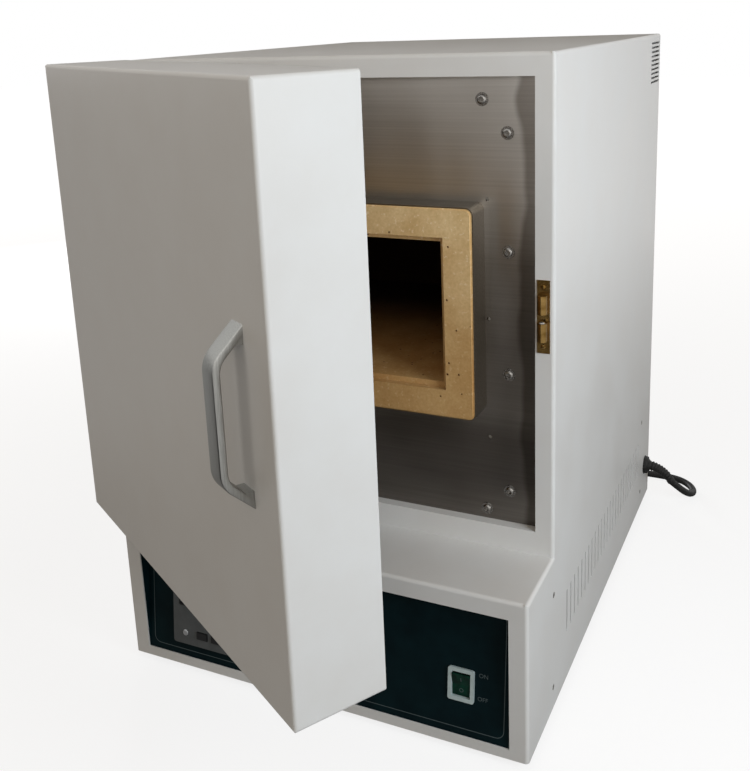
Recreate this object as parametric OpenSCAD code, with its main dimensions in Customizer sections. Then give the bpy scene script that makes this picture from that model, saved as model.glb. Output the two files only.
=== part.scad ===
// Benchtop muffle furnace: an L-shaped sheet-steel case with its controls in the foot, a deep box
// door hinged at the left and standing ajar, and a refractory muffle wound with heating ribbon.
// The origin is the middle of the case's footprint on the surface that it stands on.
// The front faces -Y, +X is to the right and +Z is up.

/* [Case] */
// Width over the side sheets
case_w = 440; // [424:2:460]
// Depth from the control box's front to the rear cover
case_d = 572; // [552:2:600]
// Height without the feet
case_h = 625; // [615:1:640]
// How far the control box stands out in front of the furnace's face
step_d = 82; // [74:1:90]
// Height of the shelf above the bottom edge
shelf_h = 161; // [157:1:163]
// Thickness of the painted sheet steel
sheet_t = 1.5; // [1:0.25:2]
// Outer radius of the folded edges
bend_r = 3.5; // [2.5:0.5:4]
// Height of the rubber feet
foot_h = 8; // [5:1:14]
// Diameter of the rubber feet
foot_d = 32; // [26:1:40]
// Distance of the feet's centres from the case's sides, front and back
foot_inset = 45; // [30:1:60]

/* [Furnace mouth] */
// Width of the frame beside the opening
mouth_side = 18; // [14:1:22]
// Height of the frame above the opening
mouth_top = 20; // [16:1:24]
// Height of the frame between the shelf and the opening
mouth_foot = 24; // [22:1:28]
// How far the stainless panel lies behind the frame's face
mouth_return = 10; // [6:1:14]
// Thickness of the stainless panel and collar
stainless_t = 1.2; // [0.8:0.2:1.6]
// Radius of the panel bolts' heads
panel_bolt_r = 5.2; // [4:0.2:6]

/* [Ventilation] */
// Slots in the row along the foot of each side sheet
vent_count = 25; // [18:1:27]
// Distance between the slots
vent_pitch = 15; // [13:0.5:16]
// Width of a slot
vent_w = 4; // [3:0.5:5]
// Height of a slot
vent_h = 47; // [36:1:52]
// Slots in each group near the top at the back
louvre_count = 10; // [6:1:12]
// Distance between those slots
louvre_pitch = 5.2; // [4.6:0.1:6]
// Width of those slots
louvre_w = 2.4; // [1.6:0.2:3]
// Length of those slots
louvre_l = 54; // [40:1:60]

/* [Muffle] */
// Width of the stainless panel in view beside the refractory muffle
muffle_side = 51; // [46:1:56]
// Outside height of the muffle
muffle_h = 196; // [186:1:206]
// Height of the muffle's middle above the middle of the mouth
muffle_up = 0; // [-8:1:8]
// How far the muffle stands out of the stainless panel
muffle_stand = 31; // [28:1:34]
// Thickness of the muffle's side walls
muffle_wall = 32; // [29:1:41]
// Height of the chamber
chamber_h = 133; // [120:1:142]
// Depth of the insulation behind the muffle
rear_insulation = 70; // [50:5:90]
// Thickness of the muffle's back wall
muffle_back = 30; // [24:1:36]
// Width of the step round the chamber's mouth
rabbet_w = 5; // [4:0.5:7]
// Depth of that step
rabbet_d = 8; // [7:0.5:10]

/* [Heating] */
// Turns of heating ribbon round the muffle
coil_turns = 14; // [8:1:18]
// Width of the ribbon
ribbon_w = 9; // [6:0.5:12]
// Thickness of the ribbon
ribbon_t = 3; // [2:0.5:4]
// Diameter of the lead rods
lead_d = 6; // [5:0.5:8]
// Diameter of the thermocouple's sheath
probe_d = 8; // [6:0.5:10]
// Length of the sheath inside the chamber
probe_reach = 60; // [40:5:90]

/* [Inner casing] */
// Air gap between the casing that holds the insulation and the case's sides
casing_side_gap = 24; // [20:1:28]
// Air gap above that casing
casing_top_gap = 21; // [17:1:28]
// Air gap behind it
casing_rear_gap = 89.5; // [70:0.5:110]
// Height of the deck under it above the shelf
deck_rise = 17; // [14:1:19]

/* [Controls] */
// Angle by which the control panel leans back
panel_lean = 6.5; // [4:0.5:9]
// Thickness of the control panel
panel_t = 2; // [1.5:0.5:3]
// Side of the square temperature controller
controller_size = 96; // [92:1:100]
// Height of the power switch
switch_h = 32; // [29:0.5:35]
// Width of the power switch
switch_w = 25.5; // [23:0.5:28]
// Angle that the rocker tips through
rocker_throw = 20; // [14:1:24]
// Travel of a controller key
key_travel = 0.8; // [0.5:0.1:1.2]

/* [Door] */
// How much narrower than the case the door is
door_short = 2.5; // [1:0.5:8]
// How far the door's top stands above the case's
door_over = 0.5; // [-3.5:0.5:1.5]
// Depth of the door
door_t = 79; // [72:1:86]
// Gap between the closed door and the frame
door_gap = 1; // [0.8:0.1:2]
// Gap between the door and the shelf
door_lift = 2.5; // [2:0.5:4]
// Angle that the door stands open by
door_ajar = 30.75; // [10:0.25:45]
// Width of the door's folded rim
rim_w = 17; // [15:0.5:19]
// Depth of the tray behind that rim
tray_d = 24; // [22.5:0.5:28]
// Thickness of the refractory plug
plug_t = 38; // [30:1:42]
// Depth of the plug's boss that enters the muffle
boss_d = 6; // [4:0.5:6.5]
// Clearance round the boss
boss_gap = 2.5; // [2:0.25:3.5]

/* [Handle] */
// Width of the handle's bar
bar_w = 17; // [14:1:20]
// Thickness of the bar
bar_t = 6; // [5:0.5:7]
// Length of the handle where it meets the door
bow_foot = 136; // [124:2:148]
// Length of the handle's outer edge before its corners are rounded
bow_top = 90; // [80:2:100]
// How far the handle stands out
bow_out = 24.5; // [22:0.5:34]
// Outer radius of the handle's bends
bow_r = 22; // [16:1:26]
// Distance of the handle's middle from the door's free edge
handle_in = 44.5; // [36:0.5:54]
// Height of the handle's middle above the door's foot
handle_up = 229.5; // [200:0.5:260]

/* [Hinges and catch] */
// Length of a hinge
hinge_h = 60; // [50:2:70]
// Outer diameter of a hinge barrel
barrel_d = 12; // [11:0.5:13]
// Diameter of a hinge pin
pin_d = 6; // [5:0.5:7]
// Distance of the hinge axis outside the case's side
hinge_out = 9.5; // [8:0.5:11]
// Distance of each hinge from the door's end
hinge_end = 105; // [70:5:140]
// Height of the catch's middle above the shelf
catch_up = 235; // [200:1:270]
// Length of the catch's plate
catch_h = 67; // [62:1:72]
// Width of the catch's plate
catch_w = 11.6; // [10.4:0.2:11.8]
// Length of each ball barrel
catch_barrel_h = 17; // [15:0.5:19]
// Gap between the two ball barrels
catch_gap = 8; // [7.5:0.25:9]
// Diameter of the catch's balls
ball_d = 7; // [6:0.5:7.5]
// How far a ball stands out of its barrel
ball_out = 1.5; // [1:0.25:1.75]

/* [Supply cord] */
// Diameter of the cord
cord_d = 9; // [9:0.5:9]
// Turns in the coil that the cord is put away in
cord_turns = 4; // [4:1:4]

/* [Hidden] */
$fn = 48;

arc_steps = 6;      // segments in a rounded corner's outline
fit_gap = 0.1;      // play of a screw in its hole
run_gap = 0.05;     // radial play of a moving fit
past = 1;           // how far a cut runs past the surface that it opens
case_screw_r = 1.5;  // shank and head of the case's screws, and their countersink's depth
case_head_r = 3;
case_sink = 1.3;

// Planes of the case
x_case = case_w / 2;
x_in = x_case - sheet_t;
x_rim = x_case - bend_r;
y_front = -case_d / 2;
y_face = y_front + step_d;
y_rear = case_d / 2;
z_base = foot_h;
z_shelf = z_base + shelf_h;
z_top = z_base + case_h;
z_deck = z_shelf + deck_rise;
flange_low = 32;    // upstand of the base plate
flange_deck = 64;   // downstand of the deck plate
flange_frame = 12;  // return of the front frame
flange_top = 20;    // downstand of the top cover at the back
box_lip = 14;       // return under the control box

// Planes of the furnace's mouth and of what stands behind it
x_mouth = x_case - mouth_side;
z_mouth_low = z_shelf + mouth_foot;
z_mouth_high = z_top - mouth_top;
y_panel = y_face + mouth_return;
y_casing = y_panel + stainless_t;
y_muffle = y_panel - muffle_stand;
y_casing_end = y_rear - casing_rear_gap;
y_muffle_end = y_casing_end - sheet_t - rear_insulation;
muffle_w = 2 * (x_mouth - muffle_side);
chamber_w = muffle_w - 2 * muffle_wall;
chamber_d = y_muffle_end - muffle_back - y_muffle;
casing_w = case_w - 2 * casing_side_gap;
casing_h = z_top - casing_top_gap - z_deck;
mouth_h = z_mouth_high - z_mouth_low;
z_muffle = z_mouth_low + mouth_h / 2 + muffle_up;
muffle_r = 6;
panel_overlap = 10;                      // cover of the stainless panel behind the frame
bolt_in = 27.5;                          // panel bolts' distance inside the opening's side
bolt_row = 20;                           // and from its top
bolt_foot = 10;                          // and above its bottom edge
bolt_first = 32;                         // lowest side bolt above the opening's foot
bolt_last = 49;                          // highest side bolt below the opening's top
bolt_places = [0, 0.345, 0.687, 1];      // places of the side bolts from the lowest to the highest
bolt_rows = [for (f = bolt_places) bolt_first + f * (mouth_h - bolt_first - bolt_last)];
bolt_step = 23;                          // outer bolts of the rows inside the side bolts
bolt_span = x_mouth - bolt_in - bolt_step;
bolt_shank_r = 2.5;
bolt_head_h = 3;
bolt_l = 9;
spare_hole_r = 1.8;                      // open holes beside the collar, a little under mid-way
spare_hole_out = 3;                      // between the side bolts
spare_hole_drop = 6;
casing_lip = 34;                         // width of the casing's front flange

// Heating
coil_front = 22;                         // first turn behind the casing's front sheet
coil_back = 20;                          // last turn in front of the muffle's end
coil_start = y_casing + sheet_t + coil_front;
coil_pitch = (y_muffle_end - coil_back - coil_start - ribbon_w) / (coil_turns - 1);
board_gap = 0.2;                         // joint between the insulation boards
coil_open = 30;                          // gap in each turn that its step to the next one spans
lead_x = 44;                             // places of the leads under the muffle
lead_end = 30;                           // length of the leads behind the casing
wire_hole_d = 14;                        // holes in the deck for their wires
lead_drop = 5;                           // clear height between the leads and the turns above
z_under = z_muffle - muffle_h / 2 - ribbon_t;
z_lead = z_under - lead_drop - lead_d / 2;
bushing_d = 16;
z_probe = z_muffle + chamber_h / 4;
probe_head_d = 44;
probe_head_l = 34;
probe_flange_t = 3;
probe_neck_l = 12;

// Control box window and panel
window_side = 18;
window_low = 10;
window_top = 18;
x_window = x_case - window_side;
z_window = z_base + window_low;
window_h = shelf_h - window_top - window_low;
panel_recess = sheet_t + 0.8;            // panel's face behind the box's face at the window's foot
cheek_t = 1.5;
controller_in = 83;                      // middles of the controller and the switch from
switch_in = 48;                          // the window's ends
controller_x = controller_in - x_window;
controller_up = 16;                      // controller above the window's foot, along the panel
controller_lip = 5;                      // its bezel in front of the panel
controller_body = 88;
controller_body_d = 70;
display_w = 78;
display_h = 34;
display_up = 44;
lens_t = 2;
key_w = 13;
key_h = 8;
key_up_z = 9;                            // foot of the square keys above the bezel's foot
key_first = 36;                          // first square key from the bezel's left edge
key_pitch = 18;
key_out = 1.4;
key_depth = 2.6;
key_gap = 0.1;
menu_r = 3.2;
menu_at = [15.5, 13];                    // middle of the round key on the bezel
switch_x = x_window - switch_in;
switch_up = 34;                          // switch above the window's foot, along the panel
switch_lip = 2.4;
switch_rim = 3.6;
switch_body_d = 22;
rocker_r = 19;
rocker_gap = 0.3;

// Door, as if closed
door_w = case_w - door_short;
door_h = z_top + door_over - z_shelf - door_lift;
dx0 = -x_case;
dx1 = dx0 + door_w;
dy_back = y_face - door_gap;
dy_front = dy_back - door_t;
dz0 = z_shelf + door_lift;
dz1 = dz0 + door_h;
door_r = 3;
y_tray = dy_back - tray_d;
plug_clear = 1;                          // gap between the plug's face and the muffle's
plug_inset = 1.5;                        // plug smaller than the muffle all round
y_plug = y_muffle - plug_clear;

// Hinges
hinge_x = -x_case - hinge_out;
hinge_y = dy_back + door_gap / 2;
leaf_t = 2;
leaf_l = 30;
leaf_hole = 21;                          // screws' distance from the edge beside the barrel
hinge_z = [dz0 + hinge_end, dz1 - hinge_end];
hinge_washer = 0.3;                      // gap between the two barrels of a hinge
hinge_screw_r = 2;

// Catch
catch_x = x_mouth + mouth_side / 2 - 1.2;
catch_z = z_shelf + catch_up;
catch_plate_t = 1.2;
catch_head_r = 2.4;
catch_head_h = 1.2;
catch_shank_r = 1.25;
catch_lip = 0.3;                         // rim turned in at a barrel's mouth to hold the ball
catch_r = 4.4;
catch_y = y_face - catch_plate_t - catch_r;
ball_in = catch_gap / 2 + ball_d / 2 - ball_out;  // ball's centre from the catch's middle
spring_wire = 0.7;
spring_turns = 5;
spring_sides = 6;
spring_rings = 10;                       // rings in each turn
tongue_w = 8;
tongue_head = catch_gap - 2 * ball_out + 0.5;
tongue_neck = catch_gap - 2 * ball_out - 0.5;

// Handle
handle_x = dx1 - handle_in;
handle_z = dz0 + handle_up;
handle_screw_r = 2;
handle_hole = bow_foot / 2 - 8;          // screws from the handle's middle
handle_pad = 7;                          // depth of the feet that the screws hold

// Cord
boot_y = y_rear - 32;
boot_z = z_base + 50;
grommet_r = 12.5;
boot_r = 6.6;
cord_r = cord_d / 2;
cord_sides = 10;
coil_mid_r = 52;                         // middle radius of the coiled cord
coil_x = x_case - 160;
coil_y = y_rear + 108;
coil_layers = 2;
// Middle of the cord from the boot to the coil, on the floor behind the case, from its right rear edge
route_steps = [
    [36, -26, 36], [44, -22, 28], [51, -17, 20], [58, -5, 11], [61, 11, 6], [58, 26, 4.5],
    [49, 39, 4.5], [36, 48, 4.5], [21, 51, 4.5], [0, 51.5, 4.5], [-20, 51.5, 4.5],
    [-40, 51.5, 4.5], [-60, 51.5, 4.5], [-80, 51.5, 4.5], [-102, 51.5, 4.5], [-127.5, 51.5, 4.5]
];
route = [for (p = route_steps) [x_case + p[0], y_rear + p[1], p[2]]];

// Helpers

// Points of an arc about c
function arc(c, r, a0, a1, n = arc_steps) =
    [for (i = [0:n]) let (a = a0 + (a1 - a0) * i / n) [c[0] + r * cos(a), c[1] + r * sin(a)]];

// Outline of a rectangle about the origin with rounded corners
function round_rect(w, h, r) = concat(
    arc([w / 2 - r, h / 2 - r], r, 0, 90), arc([r - w / 2, h / 2 - r], r, 90, 180),
    arc([r - w / 2, r - h / 2], r, 180, 270), arc([w / 2 - r, r - h / 2], r, 270, 360));

module block(x0, x1, y0, y1, z0, z1) {
    translate([x0, y0, z0]) cube([x1 - x0, y1 - y0, z1 - z0]);
}

// An outline in Y and Z, carried along X
module along_x(x0, x1) {
    translate([x0, 0, 0]) rotate([90, 0, 90]) linear_extrude(x1 - x0) children();
}

// An outline in X and Z, carried along Y
module along_y(y0, y1) {
    translate([0, y1, 0]) rotate([90, 0, 0]) linear_extrude(y1 - y0) children();
}

// Cuts the edge along Z at the origin to radius r, where the solid lies at -X and -Y
module edge_round(length, r) {
    difference() {
        translate([-r, -r, 0]) cube([r + past, r + past, length]);
        translate([-r, -r, -past]) cylinder(r = r, h = length + 2 * past);
    }
}

// A slot through a side sheet, with round ends, at the origin and along Z
module slot_z(depth, w, h) {
    translate([-depth / 2, -w / 2, -h / 2 + w / 2]) cube([depth, w, h - w]);
    for (s = [-1, 1]) translate([-depth / 2, 0, s * (h - w) / 2]) rotate([0, 90, 0])
        cylinder(d = w, h = depth);
}

// A pan-head screw along +Z: its head stands on z = 0 and its shank goes down
module pan_screw(head_r, head_h, shank_r, length) {
    rotate_extrude() polygon(concat(
        [[0, -length], [shank_r, -length], [shank_r, 0], [head_r, 0]],
        [for (i = [1:5]) [head_r * cos(90 * i / 6), head_h * (0.35 + 0.65 * sin(90 * i / 6))]],
        [[0, head_h]]));
}

// A countersunk screw along +Z: its head is flush with z = 0 and holds a hexagon socket
module flush_screw(length) {
    difference() {
        rotate_extrude() polygon([[0, -length], [case_screw_r, -length], [case_screw_r, -case_sink],
            [case_head_r, -0.2], [case_head_r, 0], [0, 0]]);
        translate([0, 0, -1]) cylinder(r = 1.2, h = 2, $fn = 6);
    }
}

// Its countersunk hole
module flush_hole(depth) {
    rotate_extrude() polygon([[0, -depth], [case_screw_r + fit_gap, -depth],
        [case_screw_r + fit_gap, -case_sink], [case_head_r + fit_gap, -0.2],
        [case_head_r + fit_gap, past], [0, past]]);
}

// Case

// Outline of a side sheet in Y and Z, drawn in by d except at the bottom
function side_outline(d) = [
    [y_front + d, z_base], [y_rear - d, z_base], [y_rear - d, z_top - d],
    [y_face + d, z_top - d], [y_face + d, z_shelf - d], [y_front + d, z_shelf - d]];

side_screw_rows = [23, 123];             // heights above the bottom edge
side_screw_y = [y_face, y_rear - 60];

// The right side sheet: a flat panel whose front, top and back edges are folded in
module side_sheet() {
    tall = z_top - z_shelf;
    difference() {
        along_x(x_rim, x_case) polygon(side_outline(0));
        translate([0, 0, -past]) along_x(x_rim - past, x_in) polygon(side_outline(bend_r));
        along_x(x_rim - past, x_in) polygon([
            [y_front + bend_r, z_base - past], [y_rear - bend_r, z_base - past],
            [y_rear - bend_r, z_top - bend_r], [y_face + bend_r, z_top - bend_r],
            [y_face + bend_r, z_shelf - bend_r], [y_front + bend_r, z_shelf - bend_r]]);
        translate([x_case, y_front, z_base - past]) rotate([0, 0, -90])
            edge_round(shelf_h + 2 * past, bend_r);
        translate([x_case, y_face, z_shelf]) rotate([0, 0, -90]) edge_round(tall + past, bend_r);
        translate([x_case, y_front - past, z_shelf]) rotate([-90, -90, 0])
            edge_round(step_d + past, bend_r);
        translate([x_case, y_face - past, z_top]) rotate([-90, -90, 0])
            edge_round(y_rear - y_face + 2 * past, bend_r);
        translate([x_case, y_rear, z_top + past]) rotate([180, 0, 90])
            edge_round(case_h + 2 * past, bend_r);
        // The fold turns the inner corner above the shelf
        translate([x_case, y_face, z_shelf]) rotate([90, 0, 90]) rotate([0, 0, -90])
            rotate_extrude(angle = 90) difference() {
                translate([0, -bend_r]) square([bend_r, bend_r + past]);
                translate([bend_r, -bend_r]) circle(r = bend_r);
            }
        for (i = [0:vent_count - 1])
            translate([x_case, y_face + 48.5 + i * vent_pitch, z_base + 53.5 + vent_h / 2])
                slot_z(3 * bend_r, vent_w, vent_h);
        for (i = [0:louvre_count - 1])
            translate([x_case, y_rear - 6 - louvre_l / 2, z_top - 57 + i * louvre_pitch])
                rotate([90, 0, 0]) slot_z(3 * bend_r, louvre_w, louvre_l);
        for (y = side_screw_y, z = side_screw_rows)
            translate([x_case, y, z_base + z]) rotate([0, 90, 0]) flush_hole(2 * bend_r);
    }
}

module right_side_panel() {
    color("gainsboro") difference() {
        side_sheet();
        translate([x_rim - past, boot_y, boot_z]) rotate([0, 90, 0])
            cylinder(r = boot_r + 2, h = bend_r + 2 * past);
    }
}

module left_side_panel() {
    color("gainsboro") difference() {
        mirror([1, 0, 0]) side_sheet();
        at_leaf_screws(1) cylinder(r = hinge_screw_r + fit_gap, h = 3 * bend_r);
    }
}

// The top sheet, folded down over the frame at the front and into the rear cover at the back
module top_cover() {
    color("gainsboro") difference() {
        union() {
            along_x(-x_rim, x_rim) difference() {
                polygon(concat([[y_face, z_top - bend_r]],
                    arc([y_face + bend_r, z_top - bend_r], bend_r, 180, 90),
                    [[y_rear, z_top], [y_rear, z_top - bend_r]]));
                polygon(concat([[y_face + sheet_t, z_top - bend_r - past],
                    [y_face + sheet_t, z_top - bend_r]],
                    arc([y_face + bend_r, z_top - bend_r], bend_r - sheet_t, 180, 90),
                    [[y_rear + past, z_top - sheet_t], [y_rear + past, z_top - bend_r - past]]));
            }
            block(-x_rim, x_rim, y_rear - 2 * sheet_t, y_rear - sheet_t,
                z_top - flange_top, z_top - sheet_t / 2);
        }
        for (x = rear_screw_x) translate([x, y_rear, z_top - flange_top / 2]) rotate([90, 0, 0])
            cylinder(r = case_screw_r + fit_gap, h = 10);
    }
}

rear_screw_x = [40 - x_case, 0, x_case - 40];
rear_slot_rows = 8;
rear_slot_step = 10;
rear_slot_end = 60;                      // first slot from the case's foot, and last from its top
rear_slot_in = 75;                       // slots' outer ends from the case's sides
rear_slot_mid = 35;                      // slots' inner ends from the middle
rear_slot_l = x_case - rear_slot_in - rear_slot_mid;

module at_rear_screws() {
    for (x = rear_screw_x, z = [z_base + flange_low / 2, z_top - flange_top / 2])
        translate([x, y_rear, z]) rotate([-90, 0, 0]) children();
}

// The flat rear cover, slotted high and low for the draught through the case
module rear_cover() {
    color("gainsboro") difference() {
        block(-x_rim, x_rim, y_rear - sheet_t, y_rear, z_base, z_top - sheet_t);
        for (side = [-1, 1], i = [0:rear_slot_rows - 1], high = [0, 1])
            translate([side * (rear_slot_mid + rear_slot_l / 2), y_rear, high * z_top + (1 - high) * z_base
                + (1 - 2 * high) * (rear_slot_end + i * rear_slot_step)])
                rotate([0, 0, 90]) rotate([90, 0, 0]) slot_z(4 * sheet_t, 4, rear_slot_l);
        at_rear_screws() flush_hole(3 * sheet_t);
    }
}

// The floor of the case, a tray with folded sides
module base_plate() {
    y0 = y_front + box_lip;
    y1 = y_rear - sheet_t;
    z1 = z_base + flange_low;
    color("silver") difference() {
        union() {
            block(-x_rim, x_rim, y0, y1, z_base, z_base + sheet_t);
            for (s = [-1, 1]) block(s > 0 ? x_rim : -x_in, s > 0 ? x_in : -x_rim,
                y0, y_rear - bend_r, z_base, z_base + sheet_t);
            for (s = [-1, 1]) block(s > 0 ? x_in - sheet_t : -x_in, s > 0 ? x_in : sheet_t - x_in,
                y0, y_rear - bend_r, z_base, z1);
            block(-x_rim + sheet_t, x_rim - sheet_t, y1 - sheet_t, y1, z_base, z1);
        }
        at_feet() translate([0, 0, -past]) cylinder(r = 2 + fit_gap, h = 4);
        for (s = [-1, 1], y = side_screw_y) translate([s * x_case, y, z_base + side_screw_rows[0]])
            rotate([0, 90, 0]) translate([0, 0, -10]) cylinder(r = case_screw_r + fit_gap, h = 20);
        for (x = rear_screw_x) translate([x, y_rear, z_base + flange_low / 2]) rotate([90, 0, 0])
            cylinder(r = case_screw_r + fit_gap, h = 10);
    }
}

// The deck between the electrics and the furnace, folded down at the sides
module deck_plate() {
    y1 = y_rear - bend_r;
    color("silver") difference() {
        union() {
            block(-x_in, x_in, y_panel, y1, z_deck - sheet_t, z_deck);
            for (s = [-1, 1]) block(s > 0 ? x_in - sheet_t : -x_in, s > 0 ? x_in : sheet_t - x_in,
                y_face + bend_r, y1, z_deck - flange_deck, z_deck - sheet_t);
            for (s = [-1, 1]) block(s > 0 ? x_in - sheet_t : -x_in, s > 0 ? x_in : sheet_t - x_in,
                y_face - 8, y_face + bend_r, z_deck - flange_deck, z_shelf - bend_r);
        }
        for (s = [-1, 1], y = side_screw_y) translate([s * x_case, y, z_base + side_screw_rows[1]])
            rotate([0, 90, 0]) translate([0, 0, -10]) cylinder(r = case_screw_r + fit_gap, h = 20);
        for (x = [-lead_x, lead_x]) translate([x, y_casing_end + lead_end - 6, z_deck - 2 * sheet_t])
            cylinder(d = wire_hole_d, h = 3 * sheet_t);
    }
}

// The face round the furnace's mouth, with a return to the stainless panel
module front_frame() {
    color("darkgray") difference() {
        union() {
            block(-x_rim, x_rim, y_face, y_face + sheet_t, z_shelf, z_top - bend_r);
            block(-x_mouth - sheet_t, x_mouth + sheet_t, y_face, y_panel,
                z_mouth_low - sheet_t, z_mouth_high + sheet_t);
            block(-x_rim + sheet_t, x_rim - sheet_t, y_face, y_face + flange_frame,
                z_shelf, z_shelf + sheet_t);
            for (s = [-1, 1]) block(s > 0 ? x_rim - sheet_t : -x_rim, s > 0 ? x_rim : sheet_t - x_rim,
                y_face, y_face + flange_frame, z_shelf, z_top - bend_r);
        }
        block(-x_mouth, x_mouth, y_face - past, y_panel + past, z_mouth_low, z_mouth_high);
        at_catch_screws() cylinder(r = catch_shank_r + fit_gap, h = 12, center = true);
    }
}

// The control box's shelf and face, folded from one sheet
module control_box_front() {
    color("darkgray") difference() {
        along_x(-x_rim, x_rim) difference() {
            polygon(concat([[y_front, z_base]],
                arc([y_front + bend_r, z_shelf - bend_r], bend_r, 180, 90),
                [[y_face + flange_frame, z_shelf], [y_face + flange_frame, z_shelf - sheet_t],
                 [y_front + box_lip, z_shelf - sheet_t], [y_front + box_lip, z_base]]));
            polygon(concat([[y_front + sheet_t, z_base + sheet_t]],
                arc([y_front + bend_r, z_shelf - bend_r], bend_r - sheet_t, 180, 90),
                [[y_front + box_lip + past, z_shelf - sheet_t],
                 [y_front + box_lip + past, z_base + sheet_t]]));
        }
        block(-x_window, x_window, y_front - past, y_front + 2 * sheet_t, z_window, z_window + window_h);
    }
}

module at_feet() {
    for (s = [-1, 1], y = [y_front + foot_inset, y_rear - foot_inset])
        translate([s * (x_case - foot_inset), y, z_base]) children();
}

// Rubber feet, each with a deep recess for its screw
module rubber_feet() {
    color("dimgray") at_feet() difference() {
        translate([0, 0, -foot_h]) cylinder(d1 = foot_d - 3, d2 = foot_d, h = foot_h);
        translate([0, 0, -foot_h - past]) cylinder(d = 10, h = foot_h / 2 + past);
        translate([0, 0, -foot_h]) cylinder(r = 2 + fit_gap, h = foot_h + past);
    }
}

module foot_screws() {
    color("silver") at_feet() translate([0, 0, -foot_h / 2]) rotate([180, 0, 0])
        pan_screw(4, min(2.4, foot_h / 2 - 0.5), 2, foot_h / 2 + sheet_t + 6);
}

module case_screws() {
    color("silver") {
        for (s = [-1, 1], y = side_screw_y, z = side_screw_rows)
            translate([s * x_case, y, z_base + z]) rotate([0, s * 90, 0]) flush_screw(9);
        at_rear_screws() flush_screw(9);
    }
}

// Furnace

module muffle_outline(grow = 0) {
    translate([0, z_muffle]) polygon(
        round_rect(muffle_w + 2 * grow, muffle_h + 2 * grow, muffle_r + grow));
}

module at_panel_bolts() {
    for (s = [-1, 1]) {
        for (z = bolt_rows) translate([s * (x_mouth - bolt_in), y_panel, z_mouth_low + z])
            rotate([90, 0, 0]) children();
        for (z = [z_mouth_low + bolt_foot, z_mouth_high - bolt_row])
            translate([s * bolt_span, y_panel, z]) rotate([90, 0, 0]) children();
    }
    for (z = [z_mouth_low + bolt_foot, z_mouth_high - bolt_row])
        translate([0, y_panel, z]) rotate([90, 0, 0]) children();
}

spare_holes = [for (i = [0:2]) (bolt_rows[i] + bolt_rows[i + 1]) / 2 - spare_hole_drop];
spare_hole_x = muffle_w / 2 + stainless_t + spare_hole_out;

// The stainless panel across the mouth, cut out for the collar
module chamber_front_panel() {
    color("slategray") difference() {
        block(-x_mouth - panel_overlap, x_mouth + panel_overlap, y_panel, y_casing,
            z_deck, z_mouth_high + panel_overlap);
        along_y(y_panel - past, y_casing + past) muffle_outline(stainless_t);
        at_panel_bolts() cylinder(r = bolt_shank_r + fit_gap, h = 10, center = true);
        for (s = [-1, 1], z = spare_holes) translate([s * spare_hole_x, y_panel, z_mouth_low + z])
            rotate([90, 0, 0]) cylinder(r = spare_hole_r, h = 10, center = true);
    }
}

// The stainless sleeve round the end of the muffle
module muffle_collar() {
    color("slategray") along_y(y_muffle + 1.5, y_casing) difference() {
        muffle_outline(stainless_t);
        muffle_outline(0);
    }
}

module panel_bolts() {
    color("silver") at_panel_bolts() pan_screw(panel_bolt_r, bolt_head_h, bolt_shank_r, bolt_l);
}

// The muffle: a refractory box, open at the front, with a step round its mouth
module muffle() {
    soft_edge = 1.5;
    color("burlywood") difference() {
        union() {
            along_y(y_muffle + soft_edge, y_muffle_end) muffle_outline(0);
            along_y(y_muffle, y_muffle + soft_edge) muffle_outline(-soft_edge);
        }
        translate([-chamber_w / 2, y_muffle - past, z_muffle - chamber_h / 2])
            cube([chamber_w, chamber_d + past, chamber_h]);
        translate([-chamber_w / 2 - rabbet_w, y_muffle - past, z_muffle - chamber_h / 2 - rabbet_w])
            cube([chamber_w + 2 * rabbet_w, rabbet_d + past, chamber_h + 2 * rabbet_w]);
        translate([0, y_muffle_end + past, z_probe]) rotate([90, 0, 0])
            cylinder(r = probe_d / 2 + fit_gap, h = muffle_back + 2 * past);
    }
}

// Heating ribbon: open turns round the muffle, each stepped to the next one underneath
module heating_coil() {
    color("peru") for (i = [0:coil_turns - 1]) let (y = coil_start + i * coil_pitch) {
        along_y(y, y + ribbon_w) difference() {
            muffle_outline(ribbon_t);
            muffle_outline(0);
            translate([-coil_open / 2, z_under - past]) square([coil_open, ribbon_t + past]);
        }
        if (i < coil_turns - 1) translate([0, 0, z_under]) linear_extrude(ribbon_t) polygon([
            [coil_open / 2 + past, y], [coil_open / 2 + past, y + ribbon_w],
            [-coil_open / 2 - past, y + coil_pitch + ribbon_w],
            [-coil_open / 2 - past, y + coil_pitch]]);
    }
}

// The two rods that carry the current, each with a lug up to the turn that it feeds
module coil_leads() {
    color("lightgray") for (i = [0, 1])
        let (x = i == 0 ? -lead_x : lead_x, y = coil_start + i * (coil_turns - 1) * coil_pitch) {
            translate([x, y, z_lead]) rotate([-90, 0, 0])
                cylinder(d = lead_d, h = y_casing_end + lead_end - y);
            block(x - lead_d / 3, x + lead_d / 3, y, y + ribbon_w, z_lead, z_under);
        }
}

// Ceramic bushings round the leads where they leave the casing
module lead_bushings() {
    color("ivory") for (s = [-1, 1]) translate([s * lead_x, y_casing_end + 10, z_lead])
        rotate([90, 0, 0]) difference() {
            union() {
                cylinder(d = bushing_d - 4, h = 10 + sheet_t);
                cylinder(d = bushing_d, h = 10);
            }
            translate([0, 0, -past]) cylinder(r = lead_d / 2 + fit_gap, h = 20);
        }
}

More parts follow.
